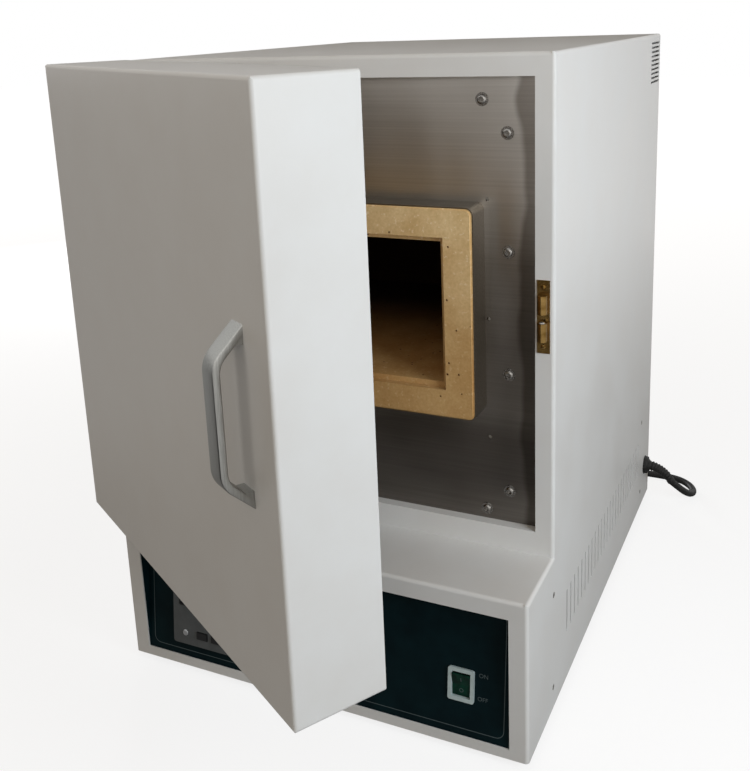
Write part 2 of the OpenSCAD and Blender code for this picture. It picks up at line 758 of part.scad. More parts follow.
// The sheet box that holds the insulation, with a flange behind the stainless panel
module inner_casing() {
    x1 = casing_w / 2;
    z1 = z_deck + casing_h;
    color("silver") difference() {
        block(-x1, x1, y_casing, y_casing_end, z_deck, z1);
        block(sheet_t - x1, x1 - sheet_t, y_casing + sheet_t, y_casing_end - sheet_t,
            z_deck + sheet_t, z1 - sheet_t);
        block(casing_lip - x1, x1 - casing_lip, y_casing - past, y_casing + 2 * sheet_t,
            z_deck + casing_lip, z1 - casing_lip);
        at_panel_bolts() cylinder(r = bolt_shank_r + fit_gap, h = 20, center = true);
        translate([0, y_casing_end + past, z_probe]) rotate([90, 0, 0])
            cylinder(r = probe_d / 2 + 0.5, h = 4 * sheet_t);
        for (s = [-1, 1]) translate([s * lead_x, y_casing_end + past, z_lead]) rotate([90, 0, 0])
            cylinder(d = bushing_d - 4, h = 4 * sheet_t);
    }
}

// Four fibre boards round the wound muffle
module insulation_boards() {
    x1 = casing_w / 2 - sheet_t;
    x0 = muffle_w / 2 + ribbon_t;
    z0 = z_deck + sheet_t;
    z3 = z_deck + casing_h - sheet_t;
    z1 = z_under;
    z2 = z_muffle + muffle_h / 2 + ribbon_t;
    y0 = y_casing + sheet_t;
    color("whitesmoke") difference() {
        union() {
            block(-x1, x1, y0, y_muffle_end, z0, z1);
            block(-x1, x1, y0, y_muffle_end, z2, z3);
            for (s = [-1, 1]) block(s > 0 ? x0 : -x1, s > 0 ? x1 : -x0, y0, y_muffle_end,
                z1 + board_gap, z2 - board_gap);
        }
        for (s = [-1, 1]) translate([s * lead_x, coil_start - 2, z_lead]) {
            rotate([-90, 0, 0]) cylinder(r = lead_d / 2 + fit_gap, h = casing_w * 2);
            translate([-lead_d / 2 - fit_gap, 0, 0])
                cube([lead_d + 2 * fit_gap, casing_w * 2, z1 + board_gap - z_lead]);
        }
        at_panel_bolts() cylinder(r = bolt_shank_r + fit_gap, h = 20, center = true);
    }
}

// The block of insulation behind the muffle
module insulation_rear() {
    x1 = casing_w / 2 - sheet_t;
    color("whitesmoke") difference() {
        block(-x1, x1, y_muffle_end, y_casing_end - sheet_t,
            z_deck + sheet_t, z_deck + casing_h - sheet_t);
        translate([0, y_muffle_end - past, z_probe]) rotate([-90, 0, 0])
            cylinder(r = probe_d / 2 + fit_gap, h = rear_insulation + 4);
        for (s = [-1, 1]) translate([s * lead_x, y_muffle_end - past, z_lead]) rotate([-90, 0, 0])
            cylinder(r = lead_d / 2 + fit_gap, h = rear_insulation + 4);
    }
}

// The thermocouple's ceramic sheath, with a round nose in the chamber
module thermocouple() {
    length = y_casing_end - (y_muffle + chamber_d - probe_reach);
    color("ivory") translate([0, y_casing_end, z_probe]) rotate([90, 0, 0]) union() {
        cylinder(d = probe_d, h = length - probe_d / 2);
        translate([0, 0, length - probe_d / 2]) sphere(d = probe_d);
    }
}

// Its terminal head, on a flange on the casing's back
module thermocouple_head() {
    color("gray") translate([0, y_casing_end, z_probe]) rotate([-90, 0, 0]) union() {
        cylinder(d = probe_head_d, h = probe_flange_t);
        cylinder(d = probe_head_d / 2, h = probe_neck_l);
        translate([0, 0, probe_neck_l]) cylinder(d = probe_head_d - 6, h = probe_head_l - probe_neck_l);
    }
}

// Controls

// Children stand on the leaning panel: +X right, +Z up the panel, its face at y = 0
module on_panel() {
    translate([0, y_front + panel_recess, z_window]) rotate([-panel_lean, 0, 0]) children();
}

panel_reach = window_h / cos(panel_lean);        // panel's height along its slope
controller_z = controller_up;

// The leaning panel with side cheeks and a roof that meet the box's face
module control_panel() {
    x1 = x_window + cheek_t;
    y0 = y_front + sheet_t;
    lean = tan(panel_lean);
    foot_y = y_front + panel_recess;
    back = panel_t / cos(panel_lean);
    color("darkslategray") difference() {
        along_x(-x1, x1) polygon([
            [y0, z_window - cheek_t], [foot_y + back, z_window - cheek_t],
            [foot_y + back + lean * (window_h + cheek_t), z_window + window_h + cheek_t],
            [y0, z_window + window_h + cheek_t]]);
        along_x(-x_window, x_window) polygon([
            [y0 - past, z_window], [foot_y, z_window],
            [foot_y + lean * window_h, z_window + window_h], [y0 - past, z_window + window_h]]);
        on_panel() {
            block(controller_x - controller_body / 2 - fit_gap,
                controller_x + controller_body / 2 + fit_gap, -past, 2 * panel_t,
                controller_z + (controller_size - controller_body) / 2 - fit_gap,
                controller_z + (controller_size + controller_body) / 2 + fit_gap);
            block(switch_x - switch_w / 2 + 1.5, switch_x + switch_w / 2 - 1.5, -past, 2 * panel_t,
                switch_up + 1.5, switch_up + switch_h - 1.5);
        }
    }
}

key_x = [for (i = [0:2]) controller_x - controller_size / 2 + key_first + i * key_pitch];

// The controller: a bezel on the panel, pockets for its lens and keys, and its case behind
module temperature_controller() {
    x0 = controller_x - controller_size / 2;
    half = controller_body / 2;
    mid = controller_z + controller_size / 2;
    color("dimgray") on_panel() difference() {
        union() {
            translate([controller_x, 0, mid]) along_y(-controller_lip, 0)
                polygon(round_rect(controller_size, controller_size, 3));
            block(controller_x - half, controller_x + half, -past, controller_body_d,
                mid - half, mid + half);
        }
        block(controller_x - display_w / 2, controller_x + display_w / 2,
            -controller_lip - past, -controller_lip + lens_t,
            controller_z + display_up, controller_z + display_up + display_h);
        for (x = key_x) block(x - key_w / 2 - key_gap, x + key_w / 2 + key_gap,
            -controller_lip - past, -controller_lip + key_depth + key_travel,
            controller_z + key_up_z - key_gap, controller_z + key_up_z + key_h + key_gap);
        translate([x0 + menu_at[0], -controller_lip + key_depth + key_travel,
            controller_z + menu_at[1]]) rotate([90, 0, 0]) cylinder(r = menu_r + key_gap, h = 10);
    }
}

module controller_display() {
    color("black") on_panel() block(controller_x - display_w / 2, controller_x + display_w / 2,
        -controller_lip, -controller_lip + lens_t,
        controller_z + display_up, controller_z + display_up + display_h);
}

// A square key: a cap with a softened front
module square_key(i) {
    soft = 0.4;
    color("black") on_panel() translate([key_x[i], -controller_lip, controller_z + key_up_z + key_h / 2]) {
        along_y(-key_out + soft, key_depth) square([key_w, key_h], center = true);
        along_y(-key_out, -key_out + soft) square([key_w - 2 * soft, key_h - 2 * soft], center = true);
    }
}

module key_menu() {
    color("gainsboro") on_panel() translate([controller_x - controller_size / 2 + menu_at[0],
        -controller_lip + key_depth, controller_z + menu_at[1]]) rotate([90, 0, 0])
        rotate_extrude() polygon([[0, 0], [menu_r, 0], [menu_r, key_depth + key_out - 0.5],
            [menu_r - 0.5, key_depth + key_out], [0, key_depth + key_out]]);
}

module key_shift() { square_key(0); }
module key_down() { square_key(1); }
module key_up() { square_key(2); }

// The switch's frame and case; the rocker's pivot pins run in its side walls
module power_switch_bezel() {
    inner_w = switch_w - 2 * switch_rim;
    inner_h = switch_h - 2 * switch_rim;
    color("gainsboro") on_panel() translate([switch_x, 0, switch_up + switch_h / 2]) difference() {
        union() {
            along_y(-switch_lip, 0) polygon(round_rect(switch_w, switch_h, 2));
            block(-switch_w / 2 + 1.7, switch_w / 2 - 1.7, -past, switch_body_d,
                -switch_h / 2 + 1.7, switch_h / 2 - 1.7);
        }
        block(-inner_w / 2, inner_w / 2, -switch_lip - past, switch_body_d - 2,
            -inner_h / 2, inner_h / 2);
        translate([0, rocker_pivot, 0]) rotate([0, 90, 0])
            cylinder(r = 1.5 + run_gap, h = switch_w - 5, center = true);
    }
}

rocker_pivot = 3;                                // rocker's axis behind the panel's face

// The rocker: two sloping faces that meet at the middle, tipped to OFF, on two pivot pins
module power_switch_rocker() {
    w = switch_w - 2 * switch_rim - 2 * rocker_gap;
    h = switch_h - 2 * switch_rim - 2 * rocker_gap - 1.2;
    half = rocker_throw / 2;
    color("seagreen") on_panel() translate([switch_x, rocker_pivot, switch_up + switch_h / 2])
        rotate([half, 0, 0]) union() {
            along_x(-w / 2, w / 2) polygon([
                [-3.4, 0], [-4.6, h / 2 - 0.2], [-3.8, h / 2], [5, h / 2 - 4], [7, 0],
                [5, 4 - h / 2], [-3.8, -h / 2], [-4.6, 0.2 - h / 2]]);
            rotate([0, 90, 0]) cylinder(r = 1.5, h = w + 2, center = true);
        }
}

// Electrics in the foot

relay_at = [x_case - 125, y_rear - 226];         // corner of the heat sink on the floor
sink_w = 80;
sink_l = 110;
sink_h = 34;

// Finned aluminium block under the relay
module heat_sink() {
    z0 = z_base + sheet_t;
    color("silver") translate([relay_at[0], relay_at[1], z0]) union() {
        translate([0, 0, sink_h - 8]) cube([sink_w, sink_l, 8]);
        for (i = [0:7]) translate([i * (sink_w - 3) / 7, 0, 0]) cube([3, sink_l, sink_h - 8 + past]);
    }
}

module solid_state_relay() {
    color("whitesmoke") translate([relay_at[0] + sink_w / 2, relay_at[1] + sink_l / 2,
        z_base + sheet_t + sink_h]) difference() {
            translate([-22, -29, 0]) cube([44, 58, 24]);
            for (s = [-1, 1]) translate([0, s * 24, 12]) cube([46, 11, 26], center = true);
            for (s = [-1, 1]) translate([0, s * 24, -past]) cylinder(r = 2.2, h = 10);
        }
}

// Ceramic block where the supply meets the leads, standing behind the relay
module terminal_block() {
    color("ivory") translate([-60, y_rear - 70, z_base + sheet_t]) difference() {
        cube([90, 26, 22]);
        for (i = [0:3]) translate([14 + i * 20.7, 13, 8]) cylinder(d = 8, h = 20);
        for (i = [0:2]) translate([24.3 + i * 20.7, -past, 14]) cube([2, 28, 10]);
    }
}

module earth_stud() {
    color("gold") translate([60, y_rear - 55, z_base + sheet_t]) union() {
        cylinder(d = 12, h = 5, $fn = 6);
        cylinder(d = 6, h = 20);
    }
}

// Catch

module at_catch_screws() {
    for (s = [-1, 1]) translate([catch_x, y_face - catch_plate_t, catch_z + s * (catch_h / 2 - 6)])
        rotate([90, 0, 0]) children();
}

// The catch's plate and its two ball barrels, which face each other across a gap
module catch_housing() {
    color("goldenrod") difference() {
        union() {
            block(catch_x - catch_w / 2, catch_x + catch_w / 2, y_face - catch_plate_t, y_face,
                catch_z - catch_h / 2, catch_z + catch_h / 2);
            for (s = [-1, 1]) translate([catch_x, catch_y, catch_z + s * catch_gap / 2])
                mirror([0, 0, s > 0 ? 0 : 1]) {
                    cylinder(r = catch_r, h = catch_barrel_h);
                    translate([-catch_r, 0, 0]) cube([2 * catch_r, catch_r + 0.2, catch_barrel_h]);
                }
        }
        for (s = [-1, 1]) translate([catch_x, catch_y, catch_z + s * (catch_gap / 2 - past)])
            mirror([0, 0, s > 0 ? 0 : 1]) {
                cylinder(r = ball_d / 2 - catch_lip, h = 2 * past);
                translate([0, 0, past + catch_lip])
                    cylinder(r = ball_d / 2 + run_gap, h = catch_barrel_h - 2 - catch_lip);
            }
        at_catch_screws() cylinder(r = catch_shank_r + fit_gap, h = 12, center = true);
    }
}

module catch_screws() {
    color("goldenrod") at_catch_screws() pan_screw(catch_head_r, catch_head_h, catch_shank_r, catch_plate_t + sheet_t + 4);
}

module catch_ball(s) {
    color("silver") translate([catch_x, catch_y, catch_z + s * ball_in]) sphere(d = ball_d);
}

module catch_ball_upper() { catch_ball(1); }
module catch_ball_lower() { catch_ball(-1); }

// A spring between a ball and the closed end of its barrel, swept along its helix
module catch_spring(s) {
    r = ball_d / 2 - spring_wire / 2 - 0.25;
    z0 = ball_in + sqrt(pow((ball_d + spring_wire) / 2, 2) - r * r) + 0.02;
    z1 = catch_gap / 2 + catch_barrel_h - 2 - spring_wire / 2;
    n = spring_turns * spring_rings;
    points = [for (i = [0:n], k = [0:spring_sides - 1]) let (
        a = 360 * i / spring_rings, b = 360 * k / spring_sides,
        q = r + spring_wire / 2 * cos(b))
        [q * cos(a), q * sin(a), z0 + (z1 - z0) * i / n + spring_wire / 2 * sin(b)]];
    walls = [for (i = [0:n - 1], k = [0:spring_sides - 1]) let (
        a = i * spring_sides + k, b = i * spring_sides + (k + 1) % spring_sides)
        [a, b, b + spring_sides, a + spring_sides]];
    ends = [[for (k = [0:spring_sides - 1]) spring_sides - 1 - k],
        [for (k = [0:spring_sides - 1]) n * spring_sides + k]];
    color("silver") translate([catch_x, catch_y, catch_z]) mirror([0, 0, s > 0 ? 0 : 1])
        polyhedron(points = points, faces = concat(ends, walls));
}

module catch_spring_upper() { catch_spring(1); }
module catch_spring_lower() { catch_spring(-1); }

// Hinges

// Screw places of the frame leaves, or of the door's closed leaves when dir is -1
module at_leaf_screws(dir) {
    for (z = hinge_z, s = [-1, 1])
        translate([-x_case - leaf_t, hinge_y + dir * (door_gap / 2 + leaf_hole), z + s * hinge_h / 3])
            rotate([0, 90, 0]) children();
}

// Turns its children with the door, from closed to the angle that it stands at
module ajar() {
    translate([hinge_x, hinge_y, 0]) rotate([0, 0, -door_ajar])
        translate([-hinge_x, -hinge_y, 0]) children();
}

// A leaf from the barrel back along the case, or forward along the door when dir is -1
module leaf(z, dir, z0, z1) {
    y0 = hinge_y + dir * (door_gap / 2);
    difference() {
        union() {
            translate([hinge_x, hinge_y, z + z0]) cylinder(d = barrel_d, h = z1 - z0);
            block(hinge_x, -x_case, min(y0, y0 + dir * barrel_d / 2), max(y0, y0 + dir * barrel_d / 2),
                z + z0, z + z1);
            block(-x_case - leaf_t, -x_case, min(y0, y0 + dir * leaf_l), max(y0, y0 + dir * leaf_l),
                z - hinge_h / 2, z + hinge_h / 2);
        }
        translate([hinge_x, hinge_y, z + z0 - past])
            cylinder(r = pin_d / 2 + run_gap, h = z1 - z0 + 2 * past);
        at_leaf_screws(dir) translate([0, 0, -past])
            cylinder(r = hinge_screw_r + fit_gap, h = leaf_t + 2 * past);
    }
}

module hinge_frame_leaves() {
    color("silver") for (z = hinge_z) leaf(z, 1, -hinge_h / 2, -hinge_washer / 2);
}

module hinge_door_leaves() {
    color("silver") ajar() for (z = hinge_z) leaf(z, -1, hinge_washer / 2, hinge_h / 2);
}

module hinge_pins() {
    color("silver") for (z = hinge_z) translate([hinge_x, hinge_y, z - hinge_h / 2]) union() {
        translate([0, 0, -3]) cylinder(d = barrel_d - 1, h = 3);
        cylinder(d = pin_d, h = hinge_h);
    }
}

module hinge_frame_screws() {
    color("silver") at_leaf_screws(1) rotate([180, 0, 0])
        pan_screw(3.6, 1.8, hinge_screw_r, leaf_t + bend_r + 2);
}

module hinge_door_screws() {
    color("silver") ajar() at_leaf_screws(-1) rotate([180, 0, 0])
        pan_screw(3.6, 1.8, hinge_screw_r, leaf_t + bend_r + 2);
}

// Door

// The door's outer pan: five painted walls and a rim folded in round the back
module door_shell() {
    mid = [(dx0 + dx1) / 2, (dz0 + dz1) / 2];
    color("gainsboro") ajar() difference() {
        translate([mid[0], 0, mid[1]]) along_y(dy_front, dy_back)
            polygon(round_rect(door_w, door_h, door_r));
        block(dx0 + sheet_t, dx1 - sheet_t, dy_front + sheet_t, dy_back - sheet_t,
            dz0 + sheet_t, dz1 - sheet_t);
        block(dx0 + rim_w, dx1 - rim_w, dy_back - 2 * sheet_t, dy_back + past,
            dz0 + rim_w, dz1 - rim_w);
        // The four edges of the front
        translate([dx0, dy_front, dz0 - past]) rotate([0, 0, 180]) edge_round(door_h + 2 * past, door_r);
        translate([dx1, dy_front, dz0 - past]) rotate([0, 0, -90]) edge_round(door_h + 2 * past, door_r);
        translate([dx1 + past, dy_front, dz1]) rotate([0, -90, 0]) rotate([0, 0, -90])
            edge_round(door_w + 2 * past, door_r);
        translate([dx0 - past, dy_front, dz0]) rotate([0, 90, 0]) rotate([0, 0, -90])
            edge_round(door_w + 2 * past, door_r);
        // The rim is notched for the catch
        block(dx1 - rim_w - past, dx1 - sheet_t, dy_back - 2 * sheet_t, dy_back + past,
            catch_z - catch_h / 2 - 2, catch_z + catch_h / 2 + 2);
        at_handle_screws() cylinder(r = handle_screw_r + fit_gap, h = 12, center = true);
        at_leaf_screws(-1) cylinder(r = hinge_screw_r + fit_gap, h = leaf_t + sheet_t + past);
    }
}

// The stainless tray across the back of the door, open for the plug
module door_liner() {
    color("slategray") ajar() difference() {
        block(dx0 + rim_w, dx1 - rim_w, y_tray - stainless_t, dy_back,
            dz0 + rim_w, dz1 - rim_w);
        block(dx0 + rim_w + stainless_t, dx1 - rim_w - stainless_t, y_tray, dy_back + past,
            dz0 + rim_w + stainless_t, dz1 - rim_w - stainless_t);
        along_y(y_tray - 2 * stainless_t - past, y_tray + past) muffle_outline(-plug_inset);
    }
}

// The fibre filling between the tray and the door's front, pocketed for the plug
module door_insulation() {
    color("whitesmoke") ajar() difference() {
        block(dx0 + sheet_t, dx1 - sheet_t, dy_front + sheet_t, y_tray - stainless_t,
            dz0 + sheet_t, dz1 - sheet_t);
        along_y(y_plug - plug_t, y_tray + past) muffle_outline(-plug_inset);
        at_handle_screws() cylinder(r = 5, h = 24, center = true);
    }
}

// The refractory plug, with a boss that stands in the step of the muffle's mouth
module door_plug() {
    boss_w = chamber_w + 2 * rabbet_w - 2 * boss_gap;
    boss_h = chamber_h + 2 * rabbet_w - 2 * boss_gap;
    color("burlywood") ajar() union() {
        along_y(y_plug - plug_t, y_plug) muffle_outline(-plug_inset);
        translate([0, 0, z_muffle]) along_y(y_plug - past, y_plug + boss_d)
            polygon(round_rect(boss_w, boss_h, 2));
    }
}

module at_handle_screws() {
    for (s = [-1, 1]) translate([handle_x, dy_front + sheet_t, handle_z + s * handle_hole])
        rotate([-90, 0, 0]) children();
}

// Points of the bow's edge at depth d inside its outer edge: proud of the door, along the bow
function bow_edge(d) = let (
    rise = (bow_foot - bow_top) / 2,
    slope = norm([bow_out, rise]),
    n = [rise, bow_out] / slope,                 // outward normal of a leg
    turn = atan2(bow_out, rise),
    foot = bow_foot / 2 - d / n[1],
    out = bow_out - d,
    corner = foot - out * n[0] / n[1],
    r = bow_r - d,
    c = [out - r, corner - r * tan(turn / 2)])
    concat([[0, foot]], arc(c, r, 90 - (90 - atan2(n[1], n[0])), 0));

function back_to_front(points) = [for (i = [len(points) - 1:-1:0]) points[i]];
function flip(points) = [for (p = points) [p[0], -p[1]]];

// The bow handle: a flat bar bent out of the door's face, with a thickened foot at each end
module door_handle() {
    outer = bow_edge(0);
    inner = bow_edge(bar_t);
    bow = concat(outer, flip(back_to_front(outer)), flip(inner), back_to_front(inner));
    flare = (bow_foot - bow_top) / 2 / bow_out;
    color("silver") ajar() difference() {
        translate([0, dy_front, handle_z]) mirror([0, 1, 0]) union() {
            along_x(handle_x - bar_w / 2, handle_x + bar_w / 2) polygon(bow);
            for (s = [0, 1]) mirror([0, 0, s]) along_x(handle_x - bar_w / 2, handle_x + bar_w / 2)
                polygon([[0, handle_hole - 6], [0, bow_foot / 2],
                    [handle_pad, bow_foot / 2 - handle_pad * flare], [handle_pad, handle_hole - 6]]);
        }
        at_handle_screws() translate([0, 0, -5.5 - sheet_t]) cylinder(r = handle_screw_r, h = 12);
    }
}

module handle_screws() {
    color("silver") ajar() at_handle_screws() pan_screw(4.4, 2.4, handle_screw_r - fit_gap, 5 + sheet_t);
}

// The strike: a bracket on the door's side wall with a tongue that the balls close on
module catch_strike() {
    x1 = dx1 - sheet_t;
    y_root = y_tray;
    y_tip = catch_y + 3.5;
    color("goldenrod") ajar() union() {
        block(x1 - 1.5, x1, y_root, dy_back - 8, catch_z - 18, catch_z + 18);
        block(catch_x - tongue_w / 2, x1, y_root, y_root + 1.5, catch_z - 18, catch_z + 18);
        along_x(catch_x - tongue_w / 2, catch_x + tongue_w / 2) polygon([
            [y_root, catch_z - tongue_neck / 2], [catch_y + 1.2, catch_z - tongue_neck / 2],
            [catch_y + 2.2, catch_z - tongue_head / 2], [y_tip - 0.6, catch_z - tongue_head / 2],
            [y_tip, catch_z - tongue_head / 2 + 1], [y_tip, catch_z + tongue_head / 2 - 1],
            [y_tip - 0.6, catch_z + tongue_head / 2], [catch_y + 2.2, catch_z + tongue_head / 2],
            [catch_y + 1.2, catch_z + tongue_neck / 2], [y_root, catch_z + tongue_neck / 2]]);
    }
}

// Supply cord

boot_end = route[0];
boot_start = [x_case + 20, boot_y, boot_z];
boot_dir = boot_end - boot_start;
boot_length = norm(boot_dir);
boot_turn = [0, acos(boot_dir[2] / boot_length), atan2(boot_dir[1], boot_dir[0])];

// The grommet in the side sheet and the drooping boot that the cord leaves by
module cable_boot() {
    color("black") union() {
        translate([x_case, boot_y, boot_z]) rotate([0, 90, 0]) {
            translate([0, 0, -bend_r - 4]) cylinder(r = boot_r + 1.6, h = bend_r + 5);
            cylinder(r1 = grommet_r, r2 = grommet_r - 2, h = 4);
            translate([0, 0, 4 - past]) cylinder(r = boot_r + 1.6, h = 3 + past);
            translate([0, 0, 7 - past]) cylinder(r = boot_r, h = 13 + past);
        }
        translate(boot_start) sphere(r = boot_r + 0.6);
        translate(boot_start) rotate(boot_turn) cylinder(r1 = boot_r, r2 = cord_r + 1, h = boot_length);
    }
}

// Rings of the cord at the middle of each stretch and at its ends
function unit(v) = v / norm(v);
function route_dir(i) = unit(route[min(i + 1, len(route) - 1)] - route[max(i - 1, 0)]);
function ring(i) = let (
    d = i == 0 ? boot_dir / boot_length : route_dir(i),
    side = unit(cross(abs(d[2]) > 0.9 ? [0, 1, 0] : [0, 0, 1], d)),
    up = cross(d, side))
    [for (k = [0:cord_sides - 1]) let (a = 360 * k / cord_sides)
        route[i] + cord_r * (cos(a) * side + sin(a) * up)];

module power_cord() {
    n = len(route);
    points = [for (i = [0:n - 1]) each ring(i)];
    walls = [for (i = [0:n - 2], k = [0:cord_sides - 1]) let (
        a = i * cord_sides + k, b = i * cord_sides + (k + 1) % cord_sides)
        [a + cord_sides, b + cord_sides, b, a]];
    ends = [[for (k = [0:cord_sides - 1]) k],
        [for (k = [0:cord_sides - 1]) n * cord_sides - 1 - k]];
    color("black") polyhedron(points = points, faces = concat(ends, walls));
}

// The outer shape of the coiled cord, lying behind the case
module cord_coil() {
    wide = cord_turns / coil_layers * cord_d / 2;
    color("black") translate([coil_x, coil_y, 0]) rotate_extrude()
        translate([coil_mid_r - wide, 0]) square([2 * wide, coil_layers * cord_d]);
}

plug_w = 26;
plug_l = 40;
plug_y = coil_y - coil_mid_r;            // the plug lies on the coil
plug_z = coil_layers * cord_d;

module plug_body() {
    color("black") translate([coil_x - plug_l / 2, plug_y - plug_w / 2, plug_z])
        cube([plug_l, plug_w, plug_w]);
}

module plug_pins() {
    color("gold") translate([coil_x - plug_l / 2, plug_y, plug_z + plug_w / 2]) for (s = [-1, 1])
        translate([0, s * 9.5, 0]) rotate([0, -90, 0]) cylinder(d = 4.8, h = 19);
}

left_side_panel();
right_side_panel();
top_cover();
rear_cover();
base_plate();
deck_plate();
front_frame();
control_box_front();
rubber_feet();
foot_screws();
case_screws();
chamber_front_panel();
muffle_collar();
panel_bolts();
muffle();
heating_coil();
coil_leads();
lead_bushings();
inner_casing();
insulation_boards();
insulation_rear();
thermocouple();
thermocouple_head();
control_panel();
temperature_controller();
controller_display();
key_menu();
key_shift();
key_down();
key_up();
power_switch_bezel();
power_switch_rocker();
solid_state_relay();
heat_sink();
terminal_block();
earth_stud();
catch_housing();
catch_screws();
catch_ball_upper();
catch_ball_lower();
catch_spring_upper();
catch_spring_lower();
hinge_frame_leaves();
hinge_door_leaves();
hinge_pins();
hinge_frame_screws();
hinge_door_screws();
door_shell();
door_liner();
door_insulation();
door_plug();
door_handle();
handle_screws();
catch_strike();
cable_boot();
power_cord();
cord_coil();
plug_body();
plug_pins();
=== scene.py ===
# A bench muffle furnace with its door ajar, dressed over its construction model.
# Everything is in metres, in the model's own frame: the front faces -Y and +Z is up.
import math

import bmesh
import bpy
from mathutils import Matrix, Vector


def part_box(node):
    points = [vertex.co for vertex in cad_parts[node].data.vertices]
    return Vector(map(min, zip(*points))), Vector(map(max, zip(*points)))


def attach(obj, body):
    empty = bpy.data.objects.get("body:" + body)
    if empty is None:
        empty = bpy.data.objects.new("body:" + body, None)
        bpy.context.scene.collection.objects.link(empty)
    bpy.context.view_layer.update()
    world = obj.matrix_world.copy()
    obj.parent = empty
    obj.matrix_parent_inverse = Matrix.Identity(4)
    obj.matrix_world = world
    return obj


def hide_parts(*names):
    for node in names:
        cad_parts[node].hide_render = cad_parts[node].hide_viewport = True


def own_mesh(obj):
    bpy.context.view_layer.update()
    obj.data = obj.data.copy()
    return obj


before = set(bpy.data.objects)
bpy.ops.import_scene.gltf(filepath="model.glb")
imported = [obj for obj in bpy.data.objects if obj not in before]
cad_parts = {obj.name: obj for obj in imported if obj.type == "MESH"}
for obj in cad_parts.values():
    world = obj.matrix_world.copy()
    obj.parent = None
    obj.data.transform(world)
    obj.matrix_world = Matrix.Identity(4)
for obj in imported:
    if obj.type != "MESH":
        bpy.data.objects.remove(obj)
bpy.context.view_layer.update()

# The view. The camera stands in front of the furnace's right front corner, a little above it,
# with its axis level with the upper part of the picture. The picture is 750 x 771 pixels.
picture = (750, 771)
sensor_mm = 36
focal_px = 977
axis_px = (385.4, 259.0)
camera_yaw, camera_pitch, camera_roll = (math.radians(a) for a in (-25.53, 13.78, -2.19))
camera_place = Vector((0.4400, -1.0045, 0.6634))

ahead = Vector((math.sin(camera_yaw) * math.cos(camera_pitch),
                math.cos(camera_yaw) * math.cos(camera_pitch), -math.sin(camera_pitch)))
level = Vector((math.cos(camera_yaw), -math.sin(camera_yaw), 0))
upright = level.cross(ahead)
right = math.cos(camera_roll) * level + math.sin(camera_roll) * upright
above = math.cos(camera_roll) * upright - math.sin(camera_roll) * level


def stand(name, data):
    """Puts an object with that data in the scene."""
    made = bpy.data.objects.new(name, data)
    bpy.context.collection.objects.link(made)
    return made


camera = stand("camera", bpy.data.cameras.new("camera"))
camera.data.sensor_width = sensor_mm
camera.data.lens = focal_px * sensor_mm / picture[1]
camera.data.shift_x = (picture[0] / 2 - axis_px[0]) / picture[1]
camera.data.shift_y = (axis_px[1] - picture[1] / 2) / picture[1]
camera.matrix_world = Matrix.Translation(camera_place) @ Matrix((right, above, -ahead)).transposed().to_4x4()
bpy.context.scene.camera = camera


# The supply cord: three cores in a round black rubber sheath, 9 mm thick. It hangs from the boot
# in the right side sheet, turns behind the case and lies there in a coil with the plug on top.
def linear(colour):
    """An sRGB hex colour as linear numbers."""
    parts = [int(colour[i:i + 2], 16) / 255 for i in (1, 3, 5)]
    return tuple(c / 12.92 if c <= 0.04045 else ((c + 0.055) / 1.055) ** 2.4 for c in parts) + (1.0,)


def add(tree, kind, inputs=None, **settings):
    """Adds a node; an input takes a value, or (node, output) to be linked."""
    node = tree.nodes.new(kind)
    for name, value in settings.items():
        setattr(node, name, value)
    for name, value in (inputs or {}).items():
        if isinstance(value, tuple) and isinstance(value[0], bpy.types.Node):
            tree.links.new(value[0].outputs[value[1]], node.inputs[name])
        else:
            node.inputs[name].default_value = value
    return node


def material(name, colour, roughness, metallic=0.0, **sockets):
    """A material with one principled shader, whose tree the caller goes on with."""
    made = bpy.data.materials.new(name)
    made.use_nodes = True
    tree = made.node_tree
    shader = tree.nodes["Principled BSDF"]
    shader.inputs["Base Color"].default_value = linear(colour)
    shader.inputs["Roughness"].default_value = roughness
    shader.inputs["Metallic"].default_value = metallic
    for socket, value in sockets.items():
        shader.inputs[socket.replace("_", " ")].default_value = value
    made.diffuse_color = linear(colour)
    return made, tree, shader


def noise_of(tree, millimetres, detail=2.0, stretch=(1, 1, 1)):
    """A noise on Object coordinates with features of that size, drawn out along an axis if asked."""
    place = add(tree, "ShaderNodeTexCoord")
    turn = add(tree, "ShaderNodeMapping", {"Vector": (place, "Object"), "Scale": stretch})
    return add(tree, "ShaderNodeTexNoise", {"Vector": (turn, "Vector"), "Scale": 1000 / millimetres,
                                            "Detail": detail, "Roughness": 0.55})


def bumped(tree, height, depth, strength=1.0, over=None):
    """A bump of that depth in millimetres, over another one if asked; height is (node, output)."""
    inputs = {"Height": height, "Strength": strength, "Distance": depth / 1000}
    if over:
        inputs["Normal"] = (over, "Normal")
    return add(tree, "ShaderNodeBump", inputs)


def grained(tree, shader, millimetres, depth, detail=2.0, over=None):
    """Gives the surface a grain of that spacing and depth in millimetres, and gives its noise."""
    noise = noise_of(tree, millimetres, detail)
    bump = bumped(tree, (noise, "Fac"), depth, over=over)
    tree.links.new(bump.outputs["Normal"], shader.inputs["Normal"])
    return noise


def ramped(tree, source, colours, stops=(0.35, 0.65)):
    """Hex colours spread over a value, one at each stop; source is (node, output)."""
    ramp = add(tree, "ShaderNodeValToRGB", {"Fac": source})
    while len(ramp.color_ramp.elements) < len(colours):
        ramp.color_ramp.elements.new(0.5)
    for element, place, colour in zip(ramp.color_ramp.elements, stops, colours):
        element.position = place
        element.color = linear(colour)
    return ramp


def mottled(tree, shader, noise, colours, stops=(0.35, 0.65)):
    """Colours the surface between two hex colours by a noise."""
    ramp = ramped(tree, (noise, "Fac"), colours, stops)
    tree.links.new(ramp.outputs["Color"], shader.inputs["Base Color"])
    return ramp


